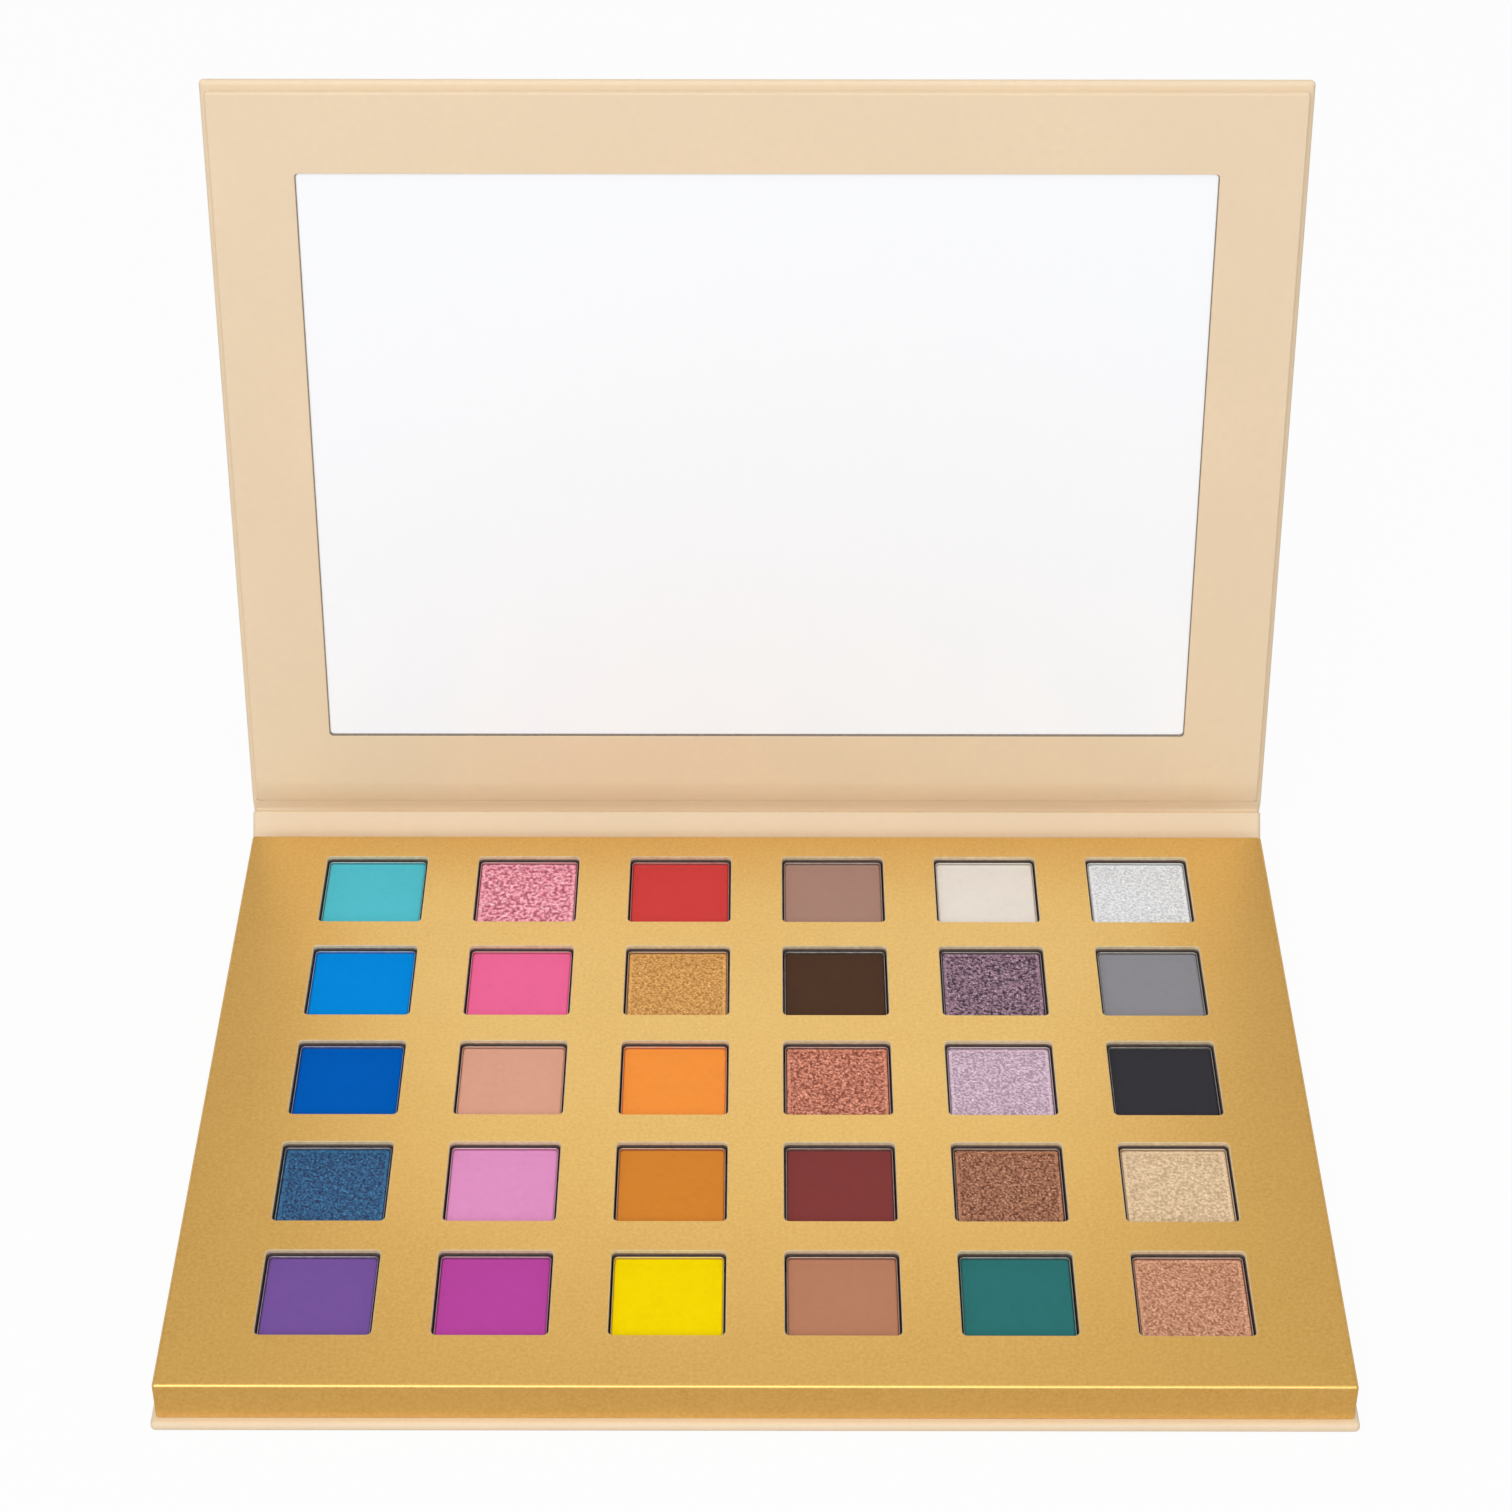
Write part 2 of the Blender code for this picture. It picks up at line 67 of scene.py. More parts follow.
def activate(piece):
    clearSelection()
    piece.select_set(True)
    bpy.context.view_layer.objects.active = piece


def startEdit(piece):
    activate(piece)
    bpy.ops.object.mode_set(mode="EDIT")
    selectNone()


def endEdit():
    bpy.ops.object.mode_set(mode="OBJECT")


def selectAll():
    bpy.ops.mesh.select_all(action="SELECT")


def selectNone():
    bpy.ops.mesh.select_all(action="DESELECT")


def pick(piece, kind, parts, test):  # selects the parts of a mesh that pass a test
    bpy.ops.mesh.select_mode(type=kind)
    selectNone()
    bpy.ops.object.mode_set(mode="OBJECT")
    for part in getattr(piece.data, parts):
        part.select = test(part)
    bpy.ops.object.mode_set(mode="EDIT")


def pickFaces(piece, test):  # test gets a face's centre in mm and its normal
    pick(piece, "FACE", "polygons", lambda face: test(face.center / mm, face.normal))


def pickEdges(piece, test):  # test gets an edge's two ends in mm
    def ends(edge):
        return [piece.data.vertices[i].co / mm for i in edge.vertices]

    pick(piece, "EDGE", "edges", lambda edge: test(*ends(edge)))


def pickPoints(piece, test):  # test gets a point's place in mm
    pick(piece, "VERT", "vertices", lambda point: test(point.co / mm))


def both(first, second, axis, value):  # both ends of an edge at the same height or line
    return abs(first[axis] - value) < near and abs(second[axis] - value) < near


def pull(x=0.0, y=0.0, z=0.0):  # extrudes what is selected, in mm
    move = {"value": (x * mm, y * mm, z * mm)}
    bpy.ops.mesh.extrude_region_move(TRANSFORM_OT_translate=move)


def stretch(x, y, centre):  # scales what is selected about a centre in mm
    middle = Vector(centre) * mm
    bpy.ops.transform.resize(value=(x, y, 1), center_override=middle)


def roundEdges(radius, steps):
    bpy.ops.mesh.bevel(offset=radius * mm, segments=steps, profile=0.5, affect="EDGES")


def roundCorners(radius, steps):
    bpy.ops.mesh.bevel(offset=radius * mm, segments=steps, profile=0.5, affect="VERTICES")


def addMaterials(piece, *materials):
    for material in materials:
        piece.data.materials.append(material)


def assignFaces(piece, index, test):
    pickFaces(piece, test)
    piece.active_material_index = index
    bpy.ops.object.material_slot_assign()


def useModifier(piece, kind, **settings):
    activate(piece)
    modifier = piece.modifiers.new(kind.lower(), kind)
    for setting, value in settings.items():
        setattr(modifier, setting, value)
    bpy.ops.object.modifier_apply(modifier=modifier.name)


def thicken(piece, paper, even=False):  # a sheet gets the thickness of its paper, on its inside
    useModifier(piece, "SOLIDIFY", thickness=paper * mm, offset=-1, use_even_offset=even)


def smoothShade(piece, angle, flat=True):  # soft edges, and large faces that stay flat
    activate(piece)
    bpy.ops.object.shade_smooth_by_angle(angle=math.radians(angle))
    if flat:
        useModifier(piece, "WEIGHTED_NORMAL", mode="FACE_AREA", weight=100, keep_sharp=True)


def newCube(name, low, high):  # a box between two corners in mm
    clearSelection()
    middle = [(a + b) / 2 * mm for a, b in zip(low, high)]
    bpy.ops.mesh.primitive_cube_add(size=1, location=middle)
    piece = bpy.context.object
    piece.name = piece.data.name = name
    piece.scale = [(b - a) * mm for a, b in zip(low, high)]
    bpy.ops.object.transform_apply(location=True, rotation=False, scale=True)
    return piece


def addOutline(low, high, height):  # one more flat rectangle in the mesh being edited
    middle = ((low[0] + high[0]) / 2, (low[1] + high[1]) / 2, height)
    bpy.ops.mesh.primitive_plane_add(size=mm, location=Vector(middle) * mm)
    stretch(high[0] - low[0], high[1] - low[1], middle)


def newPlate(name, low, high, height):  # a flat rectangle as a new piece, left in edit mode
    clearSelection()
    bpy.ops.mesh.primitive_plane_add(size=mm)
    piece = bpy.context.object
    piece.name = piece.data.name = name
    startEdit(piece)
    selectAll()
    bpy.ops.mesh.delete(type="VERT")
    addOutline(low, high, height)
    return piece


def faceOut():
    selectAll()
    bpy.ops.mesh.normals_make_consistent(inside=False)


def faceUp(piece):  # a flat open plate has no inside, so it is turned to look up
    faceOut()
    bpy.ops.object.mode_set(mode="OBJECT")
    upsideDown = sum(face.normal.z * face.area for face in piece.data.polygons) < 0
    bpy.ops.object.mode_set(mode="EDIT")
    if upsideDown:
        selectAll()
        bpy.ops.mesh.flip_normals()


def bridgeOutlines(piece):  # two outlines, one in the other, become a plate with a window
    bpy.ops.mesh.select_mode(type="FACE")
    selectAll()
    bpy.ops.mesh.delete(type="ONLY_FACE")
    bpy.ops.mesh.select_mode(type="EDGE")
    selectAll()
    bpy.ops.mesh.bridge_edge_loops()
    faceUp(piece)


def newStrip(name, half, profile):  # one edge across the case, pulled along (y, z) points in mm
    piece = newPlate(name, (-half, 0), (half, 1), 0)
    pickPoints(piece, lambda place: place.y > 0.5)  # only the plate's front edge is kept
    bpy.ops.mesh.delete(type="VERT")
    selectAll()
    start = profile[0]
    bpy.ops.transform.translate(value=(0, start[0] * mm, start[1] * mm))
    for last, point in zip(profile, profile[1:]):
        pull(y=point[0] - last[0], z=point[1] - last[1])
    return piece


def seat(piece, turn, hinge):  # turns a piece that was made flat about its fold line
    activate(piece)
    piece.rotation_euler = (math.radians(turn), 0, 0)
    piece.location = hinge
    bpy.ops.object.transform_apply(location=True, rotation=True, scale=True)


def copyOf(blank, name, place):  # a copy with its own mesh, moved to a place in mm
    activate(blank)
    bpy.ops.object.duplicate(linked=False)
    piece = bpy.context.object
    piece.name = piece.data.name = name
    piece.location = (place[0] * mm, place[1] * mm, 0)
    bpy.ops.object.transform_apply(location=True, rotation=False, scale=False)
    return piece


# colours and nodes

def paint(code, lift=0):  # a written colour, lifted by so many steps of 255, as a socket takes it
    parts = [min(255, max(0, int(code[i:i + 2], 16) + lift)) / 255 for i in (1, 3, 5)]
    return [p / 12.92 if p <= 0.04045 else ((p + 0.055) / 1.055) ** 2.4 for p in parts] + [1.0]


def shift(colour, factor):  # a lighter or darker version of a linear colour
    return [min(1.0, part * factor) for part in colour[:3]] + [1.0]


def tones(colour, share):  # the darker and the lighter side of a linear colour
    return shift(colour, 1 - share), shift(colour, 1 + share)


def addNode(tree, kind, x, y, **settings):
    item = tree.nodes.new(kind)
    item.location = (x, y)
    for setting, value in settings.items():
        setattr(item, setting, value)
    return item


def setInputs(tree, item, values):  # a socket is linked, a plain value is written
    for label, value in values.items():
        if isinstance(value, bpy.types.NodeSocket):
            tree.links.new(value, item.inputs[label])
        else:
            item.inputs[label].default_value = value


def mapped(tree, source, x, y, span, result=(0.0, 1.0)):  # a value moved from one span to another
    item = addNode(tree, "ShaderNodeMapRange", x, y)
    setInputs(tree, item, {
        "Value": source, "From Min": span[0], "From Max": span[1],
        "To Min": result[0], "To Max": result[1]})
    return item.outputs[0]


def mixed(tree, mask, x, y, first, second):  # two colours, and a mask between them
    item = addNode(tree, "ShaderNodeMix", x, y, data_type="RGBA")
    setInputs(tree, item, {0: mask, 6: first, 7: second})  # 6 and 7 are its colour sockets
    return item.outputs[2]


def reckoned(tree, operation, x, y, *values):  # what a math node makes of its values
    item = addNode(tree, "ShaderNodeMath", x, y, operation=operation)
    setInputs(tree, item, dict(enumerate(values)))
    return item.outputs[0]


# node groups

grainScale = 1000.0

paperLayers = {
    "Mottle": {"times": 0.55, "detail": 4},
    "Fibre": {"times": 2.2, "detail": 3, "rough": 0.6, "distortion": 0.4, "stretch": (1, 3.5, 3.5)},
    "Cloud": {"times": 0.03, "detail": 2},
}
foilLayers = {
    "Grain": {"times": 1.35, "detail": 5, "rough": 0.7},
    "Cloud": {"times": 0.06, "detail": 3},
    "Height": {"times": 1.4, "detail": 2, "distortion": 0.3},
}
powderLayers = {
    "Tone": {"times": 0.7, "detail": 4, "rough": 0.6},
    "Grain": {"times": 5.0, "detail": 3, "rough": 0.7},
    "Smear": {"times": 0.12, "detail": 2},
}
sparkle = {"times": 4.0, "inputs": {"Scale": grainScale, "Share": 0.15}}


def newGroup(name, inputs, outputs):  # every group has a Vector, and its own plain values
    group = bpy.data.node_groups.new(name, "ShaderNodeTree")
    addSocket = group.interface.new_socket
    addSocket(name="Vector", in_out="INPUT", socket_type="NodeSocketVector")
    for label, value in inputs.items():
        socket = addSocket(name=label, in_out="INPUT", socket_type="NodeSocketFloat")
        socket.default_value = value
    for label in outputs:
        addSocket(name=label, in_out="OUTPUT", socket_type="NodeSocketFloat")
    start = addNode(group, "NodeGroupInput", -1100, 0)
    end = addNode(group, "NodeGroupOutput", 600, 0)
    return group, start.outputs, end


def makeGrain(name, layers):  # one noise for each layer, at its own multiple of the Scale
    group, given, end = newGroup(name, {"Scale": grainScale}, layers)
    for row, (label, layer) in enumerate(layers.items()):
        y = 200 - 220 * row
        vector = given["Vector"]
        if "stretch" in layer:
            longer = addNode(group, "ShaderNodeMapping", -600, y)
            setInputs(group, longer, {"Vector": vector, "Scale": layer["stretch"]})
            vector = longer.outputs[0]
        noise = addNode(group, "ShaderNodeTexNoise", -300, y)
        setInputs(group, noise, {
            "Vector": vector,
            "Scale": reckoned(group, "MULTIPLY", -850, y, given["Scale"], layer["times"]),
            "Detail": layer["detail"],
            "Roughness": layer.get("rough", 0.5),
            "Distortion": layer.get("distortion", 0.0)})
        setInputs(group, end, {label: noise.outputs[0]})
    return group


def makeSparkle():  # small flakes, and the share of them that gets a painted glint
    group, given, end = newGroup("sparkle", sparkle["inputs"], ["Flake", "Glint"])
    cells = addNode(group, "ShaderNodeTexVoronoi", -400, 150)
    finer = reckoned(group, "MULTIPLY", -600, 150, given["Scale"], sparkle["times"])
    setInputs(group, cells, {"Vector": given["Vector"], "Scale": finer})
    split = addNode(group, "ShaderNodeSeparateColor", -200, 150)
    setInputs(group, split, {0: cells.outputs["Color"]})
    limit = reckoned(group, "SUBTRACT", -200, -50, 1.0, given["Share"])
    glint = reckoned(group, "GREATER_THAN", 0, 50, split.outputs[1], limit)
    setInputs(group, end, {"Flake": split.outputs[0], "Glint": glint})
    return group


def makePaintedHeightShade():  # 0 in the low places of a surface, 1 on the high ones: the mask for painted shade low down and painted highlight high up
    group, given, end = newGroup("heightTint", {"Low": 0.0, "High": 1.0}, ["Mask"])
    parts = addNode(group, "ShaderNodeSeparateXYZ", -500, 0)
    setInputs(group, parts, {0: given["Vector"]})
    span = addNode(group, "ShaderNodeMapRange", -200, 0, interpolation_type="SMOOTHSTEP")
    setInputs(group, span, {
        "Value": parts.outputs[2], "From Min": given["Low"], "From Max": given["High"]})
    setInputs(group, end, {"Mask": span.outputs[0]})
    return group


groups = {
    "paper": makeGrain("paperGrain", paperLayers),
    "foil": makeGrain("foilGrain", foilLayers),
    "powder": makeGrain("powderGrain", powderLayers),
    "sparkle": makeSparkle(),
    "height": makePaintedHeightShade(),
}
print("node groups made:", len(groups))


# materials for each finish

noiseSpan = (0.3, 0.7)  # where most values of a noise lie
cloudSpan, cloudShare = (0.35, 0.65), (0.0, 0.5)


def newMaterial(name):
    material = bpy.data.materials.new(name)
    material.use_nodes = True
    tree = material.node_tree
    shader = next(item for item in tree.nodes if item.type == "BSDF_PRINCIPLED")
    coords = addNode(tree, "ShaderNodeTexCoord", -1300, 0)
    return material, tree, shader, coords.outputs["Object"]


def placeGroup(tree, coords, kind, y, **values):
    item = addNode(tree, "ShaderNodeGroup", -1000, y, node_tree=groups[kind])
    setInputs(tree, item, {"Vector": coords, **values})
    return item.outputs


def bumped(tree, height, look):  # the normal of a fine relief, its depth in mm
    item = addNode(tree, "ShaderNodeBump", -300, -400)
    setInputs(tree, item, {
        "Strength": look["bump"], "Distance": look["depth"] * mm, "Height": height})
    return item.outputs[0]


paperLook = {
    "cream": "#ecd6b7", "rough": (0.50, 0.62), "specular": 0.35,
    "mottle": 0.035, "cloud": 0.02, "bump": 0.10, "depth": 0.05,
}


def paperMaterial(name, look):
    material, tree, shader, coords = newMaterial(name)
    grain = placeGroup(tree, coords, "paper", 0, Scale=grainScale)
    base = paint(look["cream"])
    mottled = mixed(tree, grain["Mottle"], -600, 200, *tones(base, look["mottle"]))
    clouds = mapped(tree, grain["Cloud"], -600, -60, cloudSpan, cloudShare)
    darker = shift(base, 1 - 2 * look["cloud"])
    setInputs(tree, shader, {
        "Base Color": mixed(tree, clouds, -380, 200, mottled, darker),
        "Roughness": mapped(tree, grain["Fibre"], -380, -160, noiseSpan, look["rough"]),
        "Specular IOR Level": look["specular"],
        "Normal": bumped(tree, grain["Fibre"], look)})
    return material


goldLook = {
    "colour": "#dfb567", "light": "#f1cd81", "rough": (0.32, 0.44), "roughSpan": (0.25, 0.75),
    "cloud": (0.0, 0.25), "metal": 0.8, "coat": 0.12, "coatRough": 0.3, "bump": 0.12, "depth": 0.03,
}


def goldMaterial(name, look):
    material, tree, shader, coords = newMaterial(name)
    grain = placeGroup(tree, coords, "foil", 0, Scale=grainScale)
    light = paint(look["light"])
    specks = mapped(tree, grain["Grain"], -800, 120, noiseSpan)
    speckled = mixed(tree, specks, -600, 200, paint(look["colour"]), light)
    clouds = mapped(tree, grain["Cloud"], -600, -60, noiseSpan, look["cloud"])
    setInputs(tree, shader, {
        "Base Color": mixed(tree, clouds, -380, 200, speckled, light),
        "Roughness": mapped(tree, grain["Grain"], -380, -160, look["roughSpan"], look["rough"]),
        "Metallic": look["metal"],
        "Coat Weight": look["coat"],
        "Coat Roughness": look["coatRough"],
        "Normal": bumped(tree, grain["Height"], look)})
    return material


plainLooks = {
    "cutCard": {"tones": ("#cdb68e", "#dfcba6"), "rough": 0.8, "scale": 1800.0, "bump": 0.2},
    # painted shade: the lower part of the window walls, darkened where the recess is in shade
    "darkCore": {"tones": ("#6a5a54", "#7d6c64"), "rough": 0.9, "scale": 1800.0, "bump": 0.3},
    "shadowLine": {"tones": ("#857a6e", "#998e82"), "rough": 0.8, "scale": 1500.0, "bump": 0.2},
    "greyBoard": {"tones": ("#8d8881", "#a6a098"), "rough": 0.9, "scale": 900.0, "bump": 0.4},
    "blackFoam": {"tones": ("#463c3b", "#5a4f4d"), "rough": 0.95, "scale": 1400.0, "bump": 0.6},
    "whiteTape": {"tones": ("#e6e4df", "#f2f0ec"), "rough": 0.6, "scale": 700.0, "bump": 0.2},
    "magnetSteel": {"tones": ("#9a9a9c", "#c2c2c4"), "rough": 0.3, "scale": 2200.0, "bump": 0.1,
                    "metal": 1.0},
}
plainShared = {"depth": 0.05, "metal": 0.0, "roughSpread": 0.06}


def plainMaterial(name):  # cut card, painted shade, boards, foam, tape and steel
    look = {**plainShared, **plainLooks[name]}
    material, tree, shader, coords = newMaterial(name)
    grain = placeGroup(tree, coords, "paper", 0, Scale=look["scale"])
    dark, light = look["tones"]
    toned = mapped(tree, grain["Mottle"], -760, 160, noiseSpan)
    rough = (look["rough"] - look["roughSpread"], look["rough"] + look["roughSpread"])
    setInputs(tree, shader, {
        "Base Color": mixed(tree, toned, -500, 200, paint(dark), paint(light)),
        "Roughness": mapped(tree, grain["Fibre"], -500, -100, noiseSpan, rough),
        "Metallic": look["metal"],
        "Normal": bumped(tree, grain["Fibre"], look)})
    return material


powderLook = {
    "tone": 0.035, "smear": 0.02, "rough": (0.78, 0.92), "specular": 0.03,
    "bump": 0.22, "depth": 0.03,
}


def matteMaterial(name, colour, look):
    material, tree, shader, coords = newMaterial(name)
    grain = placeGroup(tree, coords, "powder", 0, Scale=grainScale)
    base = paint(colour)
    spread = mapped(tree, grain["Tone"], -800, 140, noiseSpan)
    toned = mixed(tree, spread, -600, 200, *tones(base, look["tone"]))
    smears = mapped(tree, grain["Smear"], -600, -60, cloudSpan, cloudShare)
    lighter = shift(base, 1 + 2 * look["smear"])
    setInputs(tree, shader, {
        "Base Color": mixed(tree, smears, -380, 200, toned, lighter),
        "Roughness": mapped(tree, grain["Grain"], -380, -160, noiseSpan, look["rough"]),
        "Specular IOR Level": look["specular"],
        "Normal": bumped(tree, grain["Grain"], look)})
    return material


tinLook = {"steel": "#c6c4c0", "dust": (0.3, 0.65), "rough": (0.26, 0.38), "metal": 0.7}


def tinMaterial(name, colour, look):  # thin steel with a film of the powder it holds
    material, tree, shader, coords = newMaterial(name)
    grain = placeGroup(tree, coords, "powder", 0, Scale=grainScale)
    film = mapped(tree, grain["Tone"], -760, 160, noiseSpan, look["dust"])
    setInputs(tree, shader, {
        "Base Color": mixed(tree, film, -500, 200, paint(look["steel"]), paint(colour)),
        "Roughness": mapped(tree, grain["Grain"], -500, -100, noiseSpan, look["rough"]),
        "Metallic": look["metal"]})
    return material


shimmerLook = {"rough": (0.34, 0.5), "metal": 0.2, "bump": 0.3, "depth": 0.05, "reach": 0.26}


def shimmerMaterial(name, shade, look):  # painted highlight and shade: its colour is lighter on the high places of the skin and darker in the low ones, and a share of flakes on the high places gets a painted glint
    material, tree, shader, coords = newMaterial(name)
    flakes = placeGroup(tree, coords, "sparkle", 0, Scale=grainScale, Share=shade["glints"])
    field = cake["ridge"] - cake["shimmerPress"]
    reach = shade["relief"] * look["reach"]
    low, high = (field - reach) * mm, (field + reach) * mm
    level = placeGroup(tree, coords, "height", 300, Low=low, High=high)["Mask"]
    colour, spread = shade["colour"], shade["spread"]
    # painted shade in the skin's low places, painted highlight on its high ones
    heightShadedColour = mixed(tree, level, -700, 300, paint(colour, -spread), paint(colour, spread))
    # painted glints: the glinting flakes on the high places get a much lighter colour
    lit = reckoned(tree, "MULTIPLY", -700, 60, level, flakes["Glint"])
    setInputs(tree, shader, {
        "Base Color": mixed(tree, lit, -400, 300, heightShadedColour, paint(colour, 2 * spread)),
        "Roughness": mapped(tree, flakes["Flake"], -400, -100, (0.0, 1.0), look["rough"]),
        "Metallic": look["metal"],
        "Normal": bumped(tree, flakes["Flake"], look)})
    return material


mirrorLook = {
    "colour": "#d3d6db", "scale": 260.0, "wiped": 0.99, "rough": (0.12, 0.17), "specular": 0.2,
    "glow": 0.31,  # painted reflection: it glows like the white studio it looks at
}


def mirrorMaterial(name, look):  # painted reflection: even white with a soft gloss, and a glow like the white studio a mirror would show
    material, tree, shader, coords = newMaterial(name)
    cloud = placeGroup(tree, coords, "foil", 0, Scale=look["scale"])["Cloud"]
    base = paint(look["colour"])
    setInputs(tree, shader, {
        "Base Color": mixed(tree, cloud, -500, 200, base, shift(base, look["wiped"])),
        "Roughness": mapped(tree, cloud, -500, -100, noiseSpan, look["rough"]),
        "Specular IOR Level": look["specular"],
        # the glow is a painted reflection of the white studio
        "Emission Color": (1, 1, 1, 1),
        "Emission Strength": look["glow"]})
    return material


creamPaper = paperMaterial("creamPaper", paperLook)
goldCard = goldMaterial("goldCard", goldLook)
mirrorGlass = mirrorMaterial("mirrorGlass", mirrorLook)
plain = {name: plainMaterial(name) for name in plainLooks}
print("materials made:", len(bpy.data.materials))


# where the folds are

folds = {joint["name"]: Vector(joint["pos_m"]) for joint in frame["joints"]}
stance = {"spine": 50.0, "lid": 81.0}  # how far each panel is turned up from flat, in degrees
spineRun = (folds["lid_fold"] - folds["spine_fold"]).length / mm


# wrapped panels: paper over a board, turned in round its edges

panel = {
    "half": 116.05, "depth": 171.3, "thick": 1.1, "round": 1.0, "paper": 0.25, "turnIn": 14.0,
    "gap": 1.25,
}


def wrapPanel(name, low, high, openLow, openHigh):  # flat, y from low to high, z about the middle
    half, thick = panel["half"], panel["thick"]
    piece = newCube(name, (-half, low, -thick), (half, high, thick))
    startEdit(piece)

    def outerEdge(first, second):
        atLow = openLow and both(first, second, 1, low)
        atHigh = openHigh and both(first, second, 1, high)
        return not (atLow or atHigh)

    pickEdges(piece, outerEdge)
    roundEdges(panel["round"], steps=6)
    pickFaces(piece, lambda place, normal: (openLow and place.y < low + near)
              or (openHigh and place.y > high - near))
    bpy.ops.mesh.delete(type="FACE")
    pickFaces(piece, lambda place, normal: normal.z > 0.999)  # the inner face
    bpy.ops.mesh.inset(thickness=(panel["turnIn"] - panel["round"]) * mm, use_boundary=False)
    bpy.ops.mesh.delete(type="FACE")
    endEdit()
    thicken(piece, panel["paper"], even=True)
    smoothShade(piece, angle=40)
    return piece


def finish(piece, materials, nodes):
    addMaterials(piece, *materials)
    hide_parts(*nodes)


baseWrap = wrapPanel("baseWrap", -panel["gap"] - panel["depth"], -panel["gap"], False, True)
seat(baseWrap, 0, folds["spine_fold"])
finish(baseWrap, [creamPaper], ["base_wrap"])
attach(baseWrap, "base")

spineWrap = wrapPanel("spineWrap", panel["gap"], spineRun - panel["gap"], True, True)
seat(spineWrap, stance["spine"], folds["spine_fold"])
finish(spineWrap, [creamPaper], ["spine_wrap"])
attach(spineWrap, "spine")

lidWrap = wrapPanel("lidWrap", panel["gap"], panel["gap"] + panel["depth"], True, False)
seat(lidWrap, stance["lid"], folds["lid_fold"])
finish(lidWrap, [creamPaper], ["lid_wrap"])
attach(lidWrap, "lid")
print("panels wrapped")


# lid liner: a cream cover with the mirror window, its edges folded down

liner = {
    "half": 114.75, "low": 2.45, "high": 170.55, "foot": 1.2, "top": 3.0, "corner": 0.7,
    "fold": 0.5, "windowHalf": 97.05, "windowLow": 19.85, "windowHigh": 153.05, "windowCorner": 0.8,
    "lip": 0.28, "line": 0.24, "lineUp": 0.22, "edge": 0.2, "paper": 0.2,
    "footFrom": 9.0, "footDrop": 1.2, "footCuts": (8.0, 7.0, 6.0, 5.0, 4.0),
    "footNear": 0.001,
}


def sinkFoot(piece):  # the last part of the liner bends down towards the fold
    start, foot = liner["footFrom"], liner["foot"]
    depth, full = start - liner["low"], liner["top"] - foot
    for line in liner["footCuts"]:
        selectAll()
        bpy.ops.mesh.bisect(plane_co=(0, line * mm, 0), plane_no=(0, 1, 0))
    bpy.ops.object.mode_set(mode="OBJECT")
    lines = sorted({round(point.co.y / mm, 3) for point in piece.data.vertices
                    if point.co.y / mm < start})
    bpy.ops.object.mode_set(mode="EDIT")
    for line in lines:
        share = 1 - liner["footDrop"] * ((start - line) / depth) ** 2 / full
        pickPoints(piece, lambda place: abs(place.y - line) < liner["footNear"])
        bpy.ops.transform.resize(value=(1, 1, share), center_override=(0, 0, foot * mm))


def makeLiner():
    half, low, high, top = liner["half"], liner["low"], liner["high"], liner["top"]
    openHalf, openLow, openHigh = liner["windowHalf"], liner["windowLow"], liner["windowHigh"]
    lip, line, edge = liner["lip"], liner["line"], liner["edge"]
    piece = newPlate("lidLiner", (-half, low), (half, high), top)
    roundCorners(liner["corner"], steps=5)
    selectNone()
    addOutline((-openHalf, openLow), (openHalf, openHigh), top)
    roundCorners(liner["windowCorner"], steps=5)
    bridgeOutlines(piece)
    addMaterials(piece, creamPaper, plain["shadowLine"])

    def inWindow(place):
        return abs(place.x) < openHalf + near and openLow - near < place.y < openHigh + near

    def onRim(place):
        reach = liner["corner"] + near
        return abs(place.x) > half - reach or place.y < low + reach or place.y > high - reach

    pickEdges(piece, lambda a, b: onRim(a) and onRim(b))
    pull(z=liner["foot"] - top)
    pickEdges(piece, lambda a, b: onRim(a) and onRim(b) and both(a, b, 2, top))
    roundEdges(liner["fold"], steps=4)
    pickEdges(piece, lambda a, b: inWindow(a) and inWindow(b))
    pull(z=-lip)
    pull()
    middle = (0, (openLow + openHigh) / 2, top - lip)
    tall = (openHigh - openLow) / 2
    stretch(1 - line / openHalf, 1 - line / tall, middle)
    bpy.ops.transform.translate(value=(0, liner["lineUp"] * mm, 0))
    pickEdges(piece, lambda a, b: inWindow(a) and inWindow(b) and both(a, b, 2, top))
    roundEdges(edge, steps=2)
    assignFaces(piece, 1, lambda place, normal: inWindow(place) and place.z < top - edge - near)
    sinkFoot(piece)
    endEdit()
    thicken(piece, liner["paper"], even=True)
    smoothShade(piece, angle=40)
    return piece


frameBoard = {
    "half": 114.25, "low": 2.95, "high": 170.05, "foot": 1.2, "top": 2.5, "corner": 0.8,
    "openHalf": 100.35, "openLow": 16.55, "openHigh": 156.35, "overcut": 1.0,
    "magnetX": 68.0, "magnetY": 164.1, "hole": 4.3, "holeSides": 48, "holeDepth": 4.0,
    "footFrom": 8.0, "footDrop": 1.0,
}


